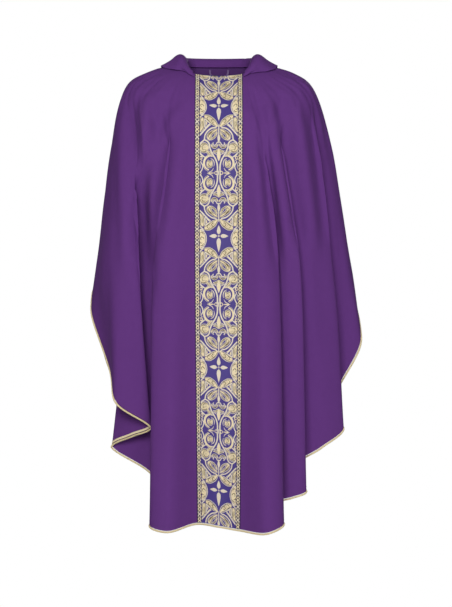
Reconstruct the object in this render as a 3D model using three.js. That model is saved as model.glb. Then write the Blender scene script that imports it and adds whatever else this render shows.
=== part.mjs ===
// A full gothic chasuble, hanging in the folds that it takes on a wearer whose arms are down.
// Millimetres, +Z up, -Y is the front. The origin is the middle of the neck opening, level with
// the tops of the shoulders, where the garment is carried.
import * as THREE from "three";

// ---- driving sizes ----
const drapeWidth = 770; // across the hanging sides
const drapeDepth = 535; // from the front folds to the back folds at the hem
const frontDrop = 1272; // from the shoulder level down to the hem, middle of the front
const shoulderHalf = 254; // from the middle to the point of a shoulder
const shoulderDrop = 46; // how far the shoulder points lie below the neck
const yokeRise = 15; // how far the shoulder line bows up between them
const chestDepth = 152; // from the middle to the front of the chest
const chestDrop = 170; // where the chest turns down
const neckHalf = 92; // half the neck opening across
const neckDepth = 86; // half the neck opening front to back
const neckDip = 41; // how far the front neckline dips
const cloth = 1.6; // thickness of the body cloth
const gap = 0.35; // air between two sewn layers
const bandHalf = 52; // half the width of the brocade band
const bandThick = 1.2;
const galloonWidth = 14;
const galloonThick = 1.5;
const cordDia = 5.6; // gold cord round the hem
const bindingWidth = 9; // gold tape inside the hem
const tapeThick = 0.8; // tape and facings inside
const facingDepth = 34; // neck facing, from the neckline down
const collarStand = 24; // height of the collar at the side of the neck
const collarFall = 60; // width of the turned-down part at the shoulder
const collarThick = 2.6; // cloth doubled
const loopSpan = 52; // hanger loop, between its sewn ends
const loopDrop = 26; // how far it hangs
const loopTape = [7, 1.2]; // its tape: width, thickness
const labelSize = [46, 30, 0.8]; // size label: width, height, thickness

// ---- the folds ----
// Each row is one line of the cloth from the neckline to the hem. "turn" is its direction at the
// neck in degrees, from the middle of the front round by -X. Then come the points that it passes
// at the chest, at the waist and at the hem.
const nominal = new THREE.Vector3(770, 535, 1272);
const bandEdge = bandHalf + galloonWidth; // the band's outer edge, which stays straight
const folds = [
  [0, [0, -158, -231], [0, -172, -561], [0, -205, -1272]], // middle of the front
  [30, [-66, -156, -231], [-66, -171, -561], [-66, -208, -1260]], // band edge
  [38, [-104, -158, -231], [-118, -186, -561], [-138, -266, -1274]], // soft roll
  [45, [-136, -151, -231], [-173, -168, -561], [-185, -234, -1262]], // front edge of the main fold
  [50, [-144, -140, -231], [-160, -120, -561], [-125, -150, -1205]], // tucked behind it
  [56, [-164, -138, -231], [-196, -100, -561], [-192, -102, -1130]],
  [63, [-198, -133, -231], [-240, -72, -561], [-295, -78, -1064]], // back of the side fold
  [68, [-216, -127, -231], [-232, -102, -561], [-240, -120, -1032]],
  [74, [-233, -120, -231], [-218, -140, -561], [-187, -160, -1004]], // edge of the side fold
  [80, [-262, -96, -231], [-272, -130, -561], [-277, -165, -938]], // its soft roll
  [84, [-288, -58, -231], [-312, -92, -561], [-300, -105, -850]],
  [87, [-303, -15, -231], [-333, -25, -521], [-358, -20, -690]], // outermost
  [92, [-298, 20, -225], [-330, 45, -450], [-354, 60, -628]], // left shoulder seam
  [100, [-272, 95, -231], [-298, 124, -531], [-316, 152, -862]],
  [106, [-236, 120, -231], [-236, 140, -551], [-212, 168, -988]],
  [112, [-216, 126, -231], [-236, 108, -556], [-252, 122, -1022]],
  [117, [-197, 132, -231], [-245, 78, -561], [-286, 72, -1062]],
  [124, [-161, 137, -231], [-190, 99, -561], [-186, 97, -1132]],
  [130, [-141, 140, -231], [-152, 119, -561], [-118, 150, -1197]],
  [135, [-129, 149, -231], [-165, 166, -561], [-178, 226, -1262]],
  [142, [-99, 154, -231], [-115, 178, -561], [-130, 256, -1282]],
  [150, [-66, 156, -231], [-66, 168, -561], [-66, 203, -1278]], // band edge
  [180, [0, 158, -231], [0, 170, -561], [0, 200, -1288]], // middle of the back
  [210, [66, 156, -231], [66, 168, -561], [66, 203, -1283]], // band edge
  [218, [99, 157, -231], [114, 179, -561], [126, 260, -1288]],
  [225, [119, 152, -231], [158, 167, -561], [172, 230, -1268]],
  [230, [131, 145, -231], [144, 133, -561], [118, 152, -1225]],
  [236, [149, 146, -231], [180, 153, -561], [195, 184, -1207]],
  [243, [169, 141, -231], [214, 151, -561], [232, 170, -1187]],
  [248, [181, 128, -231], [210, 113, -561], [188, 108, -1135]],
  [254, [213, 118, -231], [255, 110, -561], [277, 113, -1080]],
  [260, [270, 90, -231], [314, 86, -561], [340, 88, -1012]],
  [265, [284, 58, -231], [298, 48, -541], [300, 42, -946]],
  [269, [308, 25, -225], [354, 55, -480], [384, 66, -668]], // right shoulder seam
  [273, [316, -5, -231], [363, 0, -541], [400, 0, -772]], // outermost
  [277, [299, -34, -231], [338, -22, -551], [342, -12, -888]],
  [281, [278, -58, -231], [300, -42, -556], [294, -34, -962]], // tucked behind the third fold
  [286, [273, -85, -231], [316, -72, -561], [346, -66, -1014]], // edge of the third fold
  [292, [214, -119, -231], [258, -102, -561], [284, -100, -1064]],
  [297, [183, -130, -231], [216, -110, -561], [190, -102, -1127]], // tucked behind the second fold
  [304, [173, -142, -231], [221, -148, -561], [238, -162, -1178]], // edge of the second fold
  [310, [150, -147, -231], [184, -150, -561], [200, -174, -1194]],
  [315, [133, -146, -231], [146, -132, -561], [120, -152, -1217]], // tucked behind the main fold
  [320, [121, -153, -231], [161, -167, -561], [174, -234, -1256]], // right edge of the main fold
  [324, [104, -159, -231], [119, -187, -561], [130, -266, -1278]], // soft roll
  [330, [66, -156, -231], [66, -171, -561], [66, -208, -1278]], // band edge
];
const nominalBandEdge = 66;
const seam = { front: 0, left: 12, back: 22, right: 33, end: folds.length };
const rowCount = 5; // neckline 0, yoke 1, shoulder 2, chest 3, waist 4, hem 5

const size = new THREE.Vector3(drapeWidth, drapeDepth, frontDrop);
const stretch = size.divide(nominal);
const power = (value, exponent) => Math.sign(value) * Math.abs(value) ** exponent;
const radians = THREE.MathUtils.degToRad;

// The neckline: a rounded square, lower in front. Its sides start at the band's edges.
const bandTurn = 30; // the band edges' own turn
const neckRound = 0.55; // 1 is an ellipse, 0 a square
const bandShare = Math.sin(radians(bandTurn)) ** neckRound;
function neckPoint(turn) {
  const side = -Math.sin(radians(turn));
  const ahead = Math.cos(radians(turn));
  const share = (Math.abs(side) ** neckRound - bandShare) / (1 - bandShare);
  const across = Math.abs(side) < 0.01 ? 0 : Math.sign(side) * (bandEdge + (neckHalf - bandEdge) * share);
  const height = ahead > 0 ? 3 - (neckDip + 3) * ahead ** 1.2 : 3 - 3 * ahead;
  return new THREE.Vector3(across, -neckDepth * power(ahead, neckRound), height);
}

// Where the cloth turns from lying on the shoulders to hanging.
function breakPoint(turn) {
  const side = -Math.sin(radians(turn));
  const ahead = Math.cos(radians(turn));
  const fall = shoulderDrop + (chestDrop - shoulderDrop) * Math.abs(ahead) ** 0.8;
  return new THREE.Vector3(shoulderHalf * power(side, 2), -chestDepth * power(ahead, 0.45), -fall);
}

// The band's edges stay at its own width; every other point stretches with the whole.
function hangingPoint([x, y, z]) {
  const point = new THREE.Vector3(x, y, z).multiply(stretch);
  if (Math.abs(x) === nominalBandEdge) point.x = Math.sign(x) * bandEdge;
  return point;
}

function lineThrough([turn, chest, waist, hem]) {
  const neck = neckPoint(turn);
  const turnOver = breakPoint(turn);
  const onBand = Math.abs(chest[0]) === nominalBandEdge;
  if (onBand) turnOver.x = Math.sign(chest[0]) * bandEdge;
  const yoke = neck.clone().lerp(turnOver, 0.5);
  yoke.z += yokeRise;
  const points = [neck, yoke, turnOver, ...[chest, waist, hem].map(hangingPoint)];
  return new THREE.CatmullRomCurve3(points, false, "centripetal");
}
const lines = folds.map(lineThrough);

// A point of the draped cloth: u counts the lines round the garment, v the rows from 0 to 5.
function drape(u, v) {
  const first = Math.floor(u);
  const near = [-1, 0, 1, 2].map((step) => {
    const at = (first + step + 2 * lines.length) % lines.length;
    return lines[at].getPoint(THREE.MathUtils.clamp(v / rowCount, 0, 1));
  });
  return new THREE.CatmullRomCurve3(near, false, "centripetal").getPoint((1 + u - first) / 3);
}

const nudge = 0.02;
function slopeAcross(u, v) {
  return drape(u + nudge, v).sub(drape(u - nudge, v)).divideScalar(2 * nudge);
}
function slopeDown(u, v) {
  const low = Math.min(v + nudge, rowCount);
  const high = Math.max(v - nudge, 0);
  return drape(u, low).sub(drape(u, high)).divideScalar(low - high);
}
function outward(u, v) {
  return slopeAcross(u, v).cross(slopeDown(u, v)).normalize();
}

// Row value of the point that lies so many millimetres above the hem, or below the neckline.
const aboveHem = (u, distance) => rowCount - distance / slopeDown(u, rowCount).length();
const belowNeck = (u, distance) => distance / slopeDown(u, 0).length();

// ---- building solids ----
// A closed sheet from two grids of points, the outer and the inner face, row by row.
function closedSheet(outer, inner) {
  const rows = outer.length;
  const columns = outer[0].length;
  const positions = [];
  for (const face of [outer, inner])
    for (const row of face) for (const point of row) positions.push(point.x, point.y, point.z);
  const at = (side, row, column) => (side * rows + row) * columns + column;
  const index = [];
  const quad = (a, b, c, d) => index.push(a, b, c, a, c, d);
  for (let i = 0; i < rows - 1; i++)
    for (let j = 0; j < columns - 1; j++) {
      quad(at(0, i, j), at(0, i, j + 1), at(0, i + 1, j + 1), at(0, i + 1, j));
      quad(at(1, i, j), at(1, i + 1, j), at(1, i + 1, j + 1), at(1, i, j + 1));
    }
  for (let j = 0; j < columns - 1; j++) {
    quad(at(0, 0, j + 1), at(0, 0, j), at(1, 0, j), at(1, 0, j + 1));
    quad(at(0, rows - 1, j), at(0, rows - 1, j + 1), at(1, rows - 1, j + 1), at(1, rows - 1, j));
  }
  for (let i = 0; i < rows - 1; i++) {
    quad(at(0, i, 0), at(0, i + 1, 0), at(1, i + 1, 0), at(1, i, 0));
    quad(at(0, i + 1, columns - 1), at(0, i, columns - 1), at(1, i, columns - 1), at(1, i + 1, columns - 1));
  }
  const geometry = new THREE.BufferGeometry();
  geometry.setAttribute("position", new THREE.Float32BufferAttribute(positions, 3));
  geometry.setIndex(index);
  return geometry;
}

// A layer that follows the drape. rowsAt(u) gives its rows there; low and high are its faces'
// distances outward from the middle of the cloth.
function layer(columns, rowsAt, low, high) {
  const count = rowsAt(columns[0]).length;
  const faces = [high, low].map((offset) =>
    Array.from({ length: count }, (_, i) =>
      columns.map((u, j) => {
        const v = rowsAt(u)[i];
        const point = drape(u, v).addScaledVector(outward(u, v), offset);
        const end = j === 0 ? 1 : j === columns.length - 1 ? -1 : 0;
        return point.addScaledVector(slopeAcross(u, v).normalize(), (end * gap) / 2);
      }),
    ),
  );
  return closedSheet(...faces);
}

const between = (from, to, steps) =>
  Array.from({ length: steps + 1 }, (_, i) => from + ((to - from) * i) / steps);
const bodyFace = cloth / 2;
const onTop = bodyFace + gap; // where a layer sewn on the outside starts
const inside = -bodyFace - gap; // where a layer sewn on the inside starts

// Every layer takes its rows and columns from these, so that their facets run side by side.
const middleRows = [1, 1.35, 1.7, 2, 2.5, 3, 3.4, 3.7, 4, 4.25, 4.5, 4.75];
const bodyRows = (u) => [0, belowNeck(u, facingDepth), ...middleRows, aboveHem(u, bindingWidth), 5];
const bandReach = bandHalf / bandEdge; // the band's edge, in lines from the middle
function columnsOf(from, to) {
  const middles = [seam.front, seam.back, seam.end, seam.end + seam.back];
  const columns = [];
  for (let u = from; u < to - 0.01; u += 0.5) {
    const beside = middles.find((middle) => Math.abs(Math.abs(u - middle) - 0.5) < 0.01);
    columns.push(beside === undefined ? u : beside + Math.sign(u - beside) * bandReach);
  }
  return [...columns, to];
}

const colours = {
  purple: 0x663d7f,
  violet: 0x4b3d8f,
  gold: 0xc9a95f,
  lining: 0x4a2a5e,
  cream: 0xe9e2cf,
};
const finishes = {
  cloth: new THREE.MeshStandardMaterial({ color: colours.purple, roughness: 0.9, metalness: 0 }),
  brocade: new THREE.MeshStandardMaterial({ color: colours.violet, roughness: 0.6, metalness: 0 }),
  galloon: new THREE.MeshStandardMaterial({ color: colours.cream, roughness: 0.5, metalness: 0.2 }),
  cord: new THREE.MeshStandardMaterial({ color: colours.gold, roughness: 0.4, metalness: 0.5 }),
  lining: new THREE.MeshStandardMaterial({ color: colours.lining, roughness: 0.7, metalness: 0 }),
  label: new THREE.MeshStandardMaterial({ color: colours.cream, roughness: 0.8, metalness: 0 }),
};

const chasuble = new THREE.Group();
function add(name, geometry, material) {
  const mesh = new THREE.Mesh(geometry, material);
  mesh.name = name;
  chasuble.add(mesh);
  return mesh;
}

// ---- body cloth: four panels, joined at the shoulders and at the middles ----
const panels = [
  ["front_left_panel", seam.front, seam.left],
  ["back_left_panel", seam.left, seam.back],
  ["back_right_panel", seam.back, seam.right],
  ["front_right_panel", seam.right, seam.end],
];
for (const [name, from, to] of panels)
  add(name, layer(columnsOf(from, to), bodyRows, -bodyFace, bodyFace), finishes.cloth);

// ---- brocade bands down the front and the back, and the galloons over their edges ----
for (const [side, middle] of [["front", seam.end], ["back", seam.back]]) {
  const across = [middle - bandReach, middle, middle + bandReach];
  add(`${side}_band`, layer(across, bodyRows, onTop, onTop + bandThick), finishes.brocade);
  for (const hand of [-1, 1]) {
    const edges = [bandReach, 1].map((reach) => middle + hand * reach).sort((a, b) => a - b);
    const onLeft = (side === "front") === (hand > 0);
    const solid = layer(edges, bodyRows, onTop, onTop + galloonThick);
    add(`${side}_galloon_${onLeft ? "left" : "right"}`, solid, finishes.galloon);
  }
}

// ---- inside: the two neck facings and the gold tape round the hem ----
const facingRows = (u) => bodyRows(u).slice(0, 2);
const facings = [
  ["front_neck_facing", seam.right, seam.end + seam.left],
  ["back_neck_facing", seam.left, seam.right],
];
for (const [name, from, to] of facings) {
  const solid = layer(columnsOf(from, to), facingRows, inside - tapeThick, inside);
  add(name, solid, finishes.lining);
}
const bindingRows = (u) => [aboveHem(u, bindingWidth), aboveHem(u, 1)];
const hemColumns = columnsOf(seam.left, seam.left + seam.end);
const binding = layer(hemColumns, bindingRows, inside - tapeThick, inside);
add("hem_binding", binding, finishes.cord);

// ---- the gold cord round the whole hem, its ends butted at the left shoulder seam ----
const cordSides = 7;
const cordColumns = [seam.left + 0.02, ...hemColumns.slice(1, -1), seam.left + seam.end - 0.02];
const hemPoint = (i) => {
  const count = cordColumns.length;
  return drape(cordColumns[(i + count) % count], rowCount);
};
const cordRings = cordColumns.map((u, i) => {
  const here = hemPoint(i);
  const last = i === cordColumns.length - 1;
  const next = hemPoint(last ? 1 : i + 1).sub(here).normalize();
  const before = here.clone().sub(hemPoint(i === 0 ? -2 : i - 1)).normalize();
  const along = next.clone().add(before).normalize();
  const beside = outward(u, rowCount).addScaledVector(along, -outward(u, rowCount).dot(along));
  const down = new THREE.Vector3().crossVectors(beside.normalize(), along);
  const mitre = Math.min(1.5, 1 / along.dot(next)); // keeps its distance where the hem bends
  const centre = here.addScaledVector(down, (cordDia / 2 + 2 * gap) * mitre);
  return between(0, 2 * Math.PI, cordSides)
    .slice(0, cordSides)
    .map((a) => {
      const point = centre.clone().addScaledVector(down, (Math.cos(a) * cordDia) / 2);
      return point.addScaledVector(beside, (Math.sin(a) * cordDia) / 2);
    });
});
function closedTube(rings) {
  const sides = rings[0].length;
  const positions = rings.flat().flatMap((point) => [point.x, point.y, point.z]);
  const index = [];
  for (let i = 0; i < rings.length - 1; i++)
    for (let k = 0; k < sides; k++) {
      const next = (k + 1) % sides;
      const [a, b] = [i * sides + k, i * sides + next];
      index.push(a, b, b + sides, a, b + sides, a + sides);
    }
  const last = (rings.length - 1) * sides;
  for (let k = 1; k < sides - 1; k++) {
    index.push(0, k + 1, k);
    index.push(last, last + k, last + k + 1);
  }
  const geometry = new THREE.BufferGeometry();
  geometry.setAttribute("position", new THREE.Float32BufferAttribute(positions, 3));
  geometry.setIndex(index);
  return geometry;
}
add("hem_cord", closedTube(cordRings), finishes.cord);

// ---- roll collar: it starts as a point beside the band and goes round the back of the neck ----
// It stands up from the neckline, rolls over and lies on the shoulders. Cloth folded double.
const collarStart = 1.15; // in lines from the middle of the front
const collarFull = 11; // the line where it has its full width
const wingStart = 4.2; // the line where its turned-down part starts to widen
function collarProfile(u) {
  const fromFront = Math.min(u, seam.end - u);
  const open = THREE.MathUtils.smoothstep(fromFront, collarStart, collarFull);
  const back = THREE.MathUtils.smoothstep(fromFront, collarFull, seam.back);
  const stand = collarStand * (0.15 + 0.85 * open);
  const turned = THREE.MathUtils.smoothstep(fromFront, wingStart, collarFull);
  const fall = 4 + (collarFall - 4 + 20 * back) * turned;
  const down = slopeDown(u, 0).normalize();
  const neck = drape(u, 0).addScaledVector(down, -gap - 0.3 - collarThick / 2);
  const out = new THREE.Vector3(neck.x, neck.y, 0).normalize();
  const rising = (reach, rise) => neck.clone().addScaledVector(out, reach).add({ x: 0, y: 0, z: rise });
  const lying = (reach, height) => {
    const v = belowNeck(u, reach);
    return drape(u, v).addScaledVector(outward(u, v), height);
  };
  const roll = 4 + 10 * open;
  return [
    rising(0, 0.5),
    rising(0.5, stand * 0.5),
    rising(roll * 0.45, stand * 0.9),
    rising(roll * 1.2, stand * 1.12),
    rising(roll * 2, stand),
    lying(12 + fall * 0.5, 4 + stand * 0.5),
    lying(10 + fall * 0.8, 4 + stand * 0.2),
    lying(10 + fall, 5),
  ];
}
const collarEnd = seam.end - collarStart;
const collarColumns = [collarStart, ...between(2, seam.end - 2, seam.end - 4), collarEnd];
const collarLines = collarColumns.map(
  (u) => new THREE.CatmullRomCurve3(collarProfile(u), false, "centripetal"),
);
const collarSteps = 12;
const collarGrid = between(0, 1, collarSteps).map((w) => collarLines.map((line) => line.getPoint(w)));
const collarFaces = [0.5, -0.5].map((side) =>
  collarGrid.map((row, i) =>
    row.map((point, j) => {
      const across = row[Math.min(j + 1, row.length - 1)].clone().sub(row[Math.max(j - 1, 0)]);
      const last = collarGrid[Math.min(i + 1, collarSteps)][j].clone();
      const along = last.sub(collarGrid[Math.max(i - 1, 0)][j]);
      const normal = across.cross(along).normalize();
      return point.clone().addScaledVector(normal, side * collarThick);
    }),
  ),
);
add("collar", closedSheet(...collarFaces), finishes.cloth);

// ---- hanger loop and size label, sewn inside the back of the neck ----
// Spot on the inside of the back, so far below the neckline, for a flat piece of half this width.
function insideBack(distance, halfWidth, clearance) {
  const v = belowNeck(seam.back, distance);
  const middle = drape(seam.back, v);
  const edge = drape(seam.back + bandReach, v);
  const lean = outward(seam.back, v).y;
  middle.y += (edge.y - middle.y) * (halfWidth / bandHalf) - clearance / lean;
  return middle;
}
const [loopWide, loopThin] = loopTape;
const facingFace = bodyFace + gap + tapeThick;
const hangerSpot = insideBack(6, (loopSpan + loopWide) / 2, facingFace + gap + loopThin / 2);
const loopLine = new THREE.CatmullRomCurve3([
  new THREE.Vector3(-loopSpan / 2, 0, 0),
  new THREE.Vector3(-loopSpan / 2 + 1, 0, -loopDrop * 0.45),
  new THREE.Vector3(-loopSpan / 4, 0, -loopDrop * 0.93),
  new THREE.Vector3(0, 0, -loopDrop),
  new THREE.Vector3(loopSpan / 4, 0, -loopDrop * 0.93),
  new THREE.Vector3(loopSpan / 2 - 1, 0, -loopDrop * 0.45),
  new THREE.Vector3(loopSpan / 2, 0, 0),
]);
const loopGrid = (depth) => {
  const spots = loopLine.getSpacedPoints(22);
  return [-1, 1].map((hand) => spots.map((spot, i) => {
    const tangent = loopLine.getTangentAt(i / 22);
    const normal = new THREE.Vector3(-tangent.z, 0, tangent.x);
    return spot.clone().addScaledVector(normal, (-hand * loopWide) / 2).add(new THREE.Vector3(0, depth, 0));
  }));
};
const loop = add("hanger_loop", closedSheet(loopGrid(loopThin / 2), loopGrid(-loopThin / 2)), finishes.lining);
loop.position.copy(hangerSpot);

const [labelWide, labelHigh, labelThin] = labelSize;
const labelDrop = 52; // from the neckline down to its sewn edge
const labelSpot = insideBack(labelDrop, labelWide / 2, bodyFace + gap + labelThin / 2);
const label = add("size_label", new THREE.BoxGeometry(labelWide, labelThin, labelHigh), finishes.label);
label.position.copy(labelSpot);
label.position.z -= labelHigh / 2;

export default chasuble;
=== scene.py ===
# A gothic chasuble hanging in its folds: purple body cloth, a brocade band down the front and the
# back, a roll collar and a gold cord round the hem. Metres, the front faces -Y.
import math
from functools import partial
import bpy
import bmesh
import numpy as np
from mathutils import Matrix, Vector


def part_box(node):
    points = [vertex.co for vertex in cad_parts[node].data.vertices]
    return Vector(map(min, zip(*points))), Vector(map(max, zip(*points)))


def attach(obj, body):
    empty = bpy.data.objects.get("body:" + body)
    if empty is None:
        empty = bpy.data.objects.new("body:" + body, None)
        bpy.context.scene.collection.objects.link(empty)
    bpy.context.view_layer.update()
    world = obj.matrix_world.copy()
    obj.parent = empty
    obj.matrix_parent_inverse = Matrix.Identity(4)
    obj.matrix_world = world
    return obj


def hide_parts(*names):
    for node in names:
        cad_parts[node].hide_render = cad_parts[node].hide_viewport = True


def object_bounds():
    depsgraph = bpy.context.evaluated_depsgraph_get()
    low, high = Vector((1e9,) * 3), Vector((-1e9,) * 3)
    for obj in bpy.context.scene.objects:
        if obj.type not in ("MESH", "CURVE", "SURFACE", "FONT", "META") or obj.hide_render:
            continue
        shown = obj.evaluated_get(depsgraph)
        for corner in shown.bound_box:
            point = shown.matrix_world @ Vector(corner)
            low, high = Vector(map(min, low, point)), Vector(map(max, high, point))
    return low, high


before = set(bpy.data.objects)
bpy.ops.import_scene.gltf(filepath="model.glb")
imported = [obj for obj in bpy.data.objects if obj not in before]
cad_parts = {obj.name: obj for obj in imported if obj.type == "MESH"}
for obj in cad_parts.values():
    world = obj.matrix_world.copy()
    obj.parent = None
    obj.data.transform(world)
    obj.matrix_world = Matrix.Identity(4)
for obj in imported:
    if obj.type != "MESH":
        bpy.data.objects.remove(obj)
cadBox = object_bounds()
print("frame loaded:", len(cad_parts), "parts")

# Camera, stage and lights
studio = {
    "eye": (0.0197, -4.5, -0.67), "lens": 94.6,
    "floorDrop": 0.28, "floorReach": 16.0, "paper": (0.55, 0.55, 0.55), "white": 1.0,
    "sky": 0.14,
    "key": {"at": (-0.5, -4.4, 0.9), "size": 1.7, "power": 133},
    "fill": {"at": (1.7, -4.0, -0.5), "size": 2.0, "power": 30},
    "rear": {"at": (0.6, 4.4, 0.8), "size": 2.4, "power": 95},
}


def makeCamera():
    data = bpy.data.cameras.new("camera")
    data.sensor_width, data.lens = 36, studio["lens"]
    data.clip_start, data.clip_end = 0.05, 60
    camera = bpy.data.objects.new("camera", data)
    bpy.context.collection.objects.link(camera)
    camera.location = studio["eye"]
    camera.rotation_euler = (math.radians(90), 0, 0)
    bpy.context.scene.camera = camera


def softLight(name, look):
    data = bpy.data.lights.new(name, "AREA")
    data.shape, data.size, data.energy = "SQUARE", look["size"], look["power"]
    light = bpy.data.objects.new(name, data)
    bpy.context.collection.objects.link(light)
    light.location = look["at"]
    aim = Vector((0, 0, -0.65)) - light.location
    light.rotation_euler = aim.to_track_quat("-Z", "Y").to_euler()


def whiteToTheEye(tree, seen, lit):
    # the camera sees plain white there, and the light that it gives stays soft
    path = tree.nodes.new("ShaderNodeLightPath")
    mix = tree.nodes.new("ShaderNodeMixShader")
    tree.links.new(path.outputs["Is Camera Ray"], mix.inputs[0])
    tree.links.new(lit.outputs[0], mix.inputs[1])
    tree.links.new(seen.outputs[0], mix.inputs[2])
    end = next(n for n in tree.nodes if n.type.startswith("OUTPUT"))
    tree.links.new(mix.outputs[0], end.inputs["Surface"])


def makeStage():
    # a plain pale floor under the hanging garment
    floor, reach, sides = cadBox[0][2] - studio["floorDrop"], studio["floorReach"], 64
    turns = [2 * math.pi * i / sides for i in range(sides)]
    mesh = bpy.data.meshes.new("floor")
    mesh.from_pydata([(reach * math.cos(a), reach * math.sin(a), floor) for a in turns], [],
                     [tuple(range(sides))])
    paper = bpy.data.materials.new("floorPaper")
    paper.use_nodes = True
    tree = paper.node_tree
    shader = tree.nodes["Principled BSDF"]
    shader.inputs["Base Color"].default_value = (*studio["paper"], 1)
    shader.inputs["Roughness"].default_value = 0.9
    seen = tree.nodes.new("ShaderNodeEmission")
    seen.inputs["Color"].default_value = (1, 1, 1, 1)
    seen.inputs["Strength"].default_value = studio["white"]
    whiteToTheEye(tree, seen, shader)
    mesh.materials.append(paper)
    sheetOfPaper = bpy.data.objects.new("floor", mesh)
    bpy.context.collection.objects.link(sheetOfPaper)


def makeSky():
    world = bpy.data.worlds.new("softSky")
    bpy.context.scene.world = world
    world.use_nodes = True
    tree = world.node_tree
    lit = tree.nodes["Background"]
    lit.inputs["Color"].default_value = (1, 1, 1, 1)
    lit.inputs["Strength"].default_value = studio["sky"]
    seen = tree.nodes.new("ShaderNodeBackground")
    seen.inputs["Color"].default_value = (1, 1, 1, 1)
    seen.inputs["Strength"].default_value = studio["white"]
    whiteToTheEye(tree, seen, lit)


makeCamera()
makeStage()
makeSky()
softLight("keyLight", studio["key"])
softLight("fillLight", studio["fill"])
softLight("rearLight", studio["rear"])
bpy.context.scene.view_settings.view_transform = "Standard"
print("camera, stage and lights are set")

# The drape of the cloth
cut = {
    "shoulderHalf": 0.254, "shoulderDrop": 0.046, "yokeRise": 0.015,
    "chestDepth": 0.152, "chestDrop": 0.170,
    "neckHalf": 0.092, "neckDepth": 0.086, "neckDip": 0.041,
    "bandHalf": 0.052, "galloonWidth": 0.014, "bandTurn": 30, "neckRound": 0.55,
    "cloth": 0.0015, "gap": 0.00035,
}
bandEdge = cut["bandHalf"] + cut["galloonWidth"]

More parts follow.
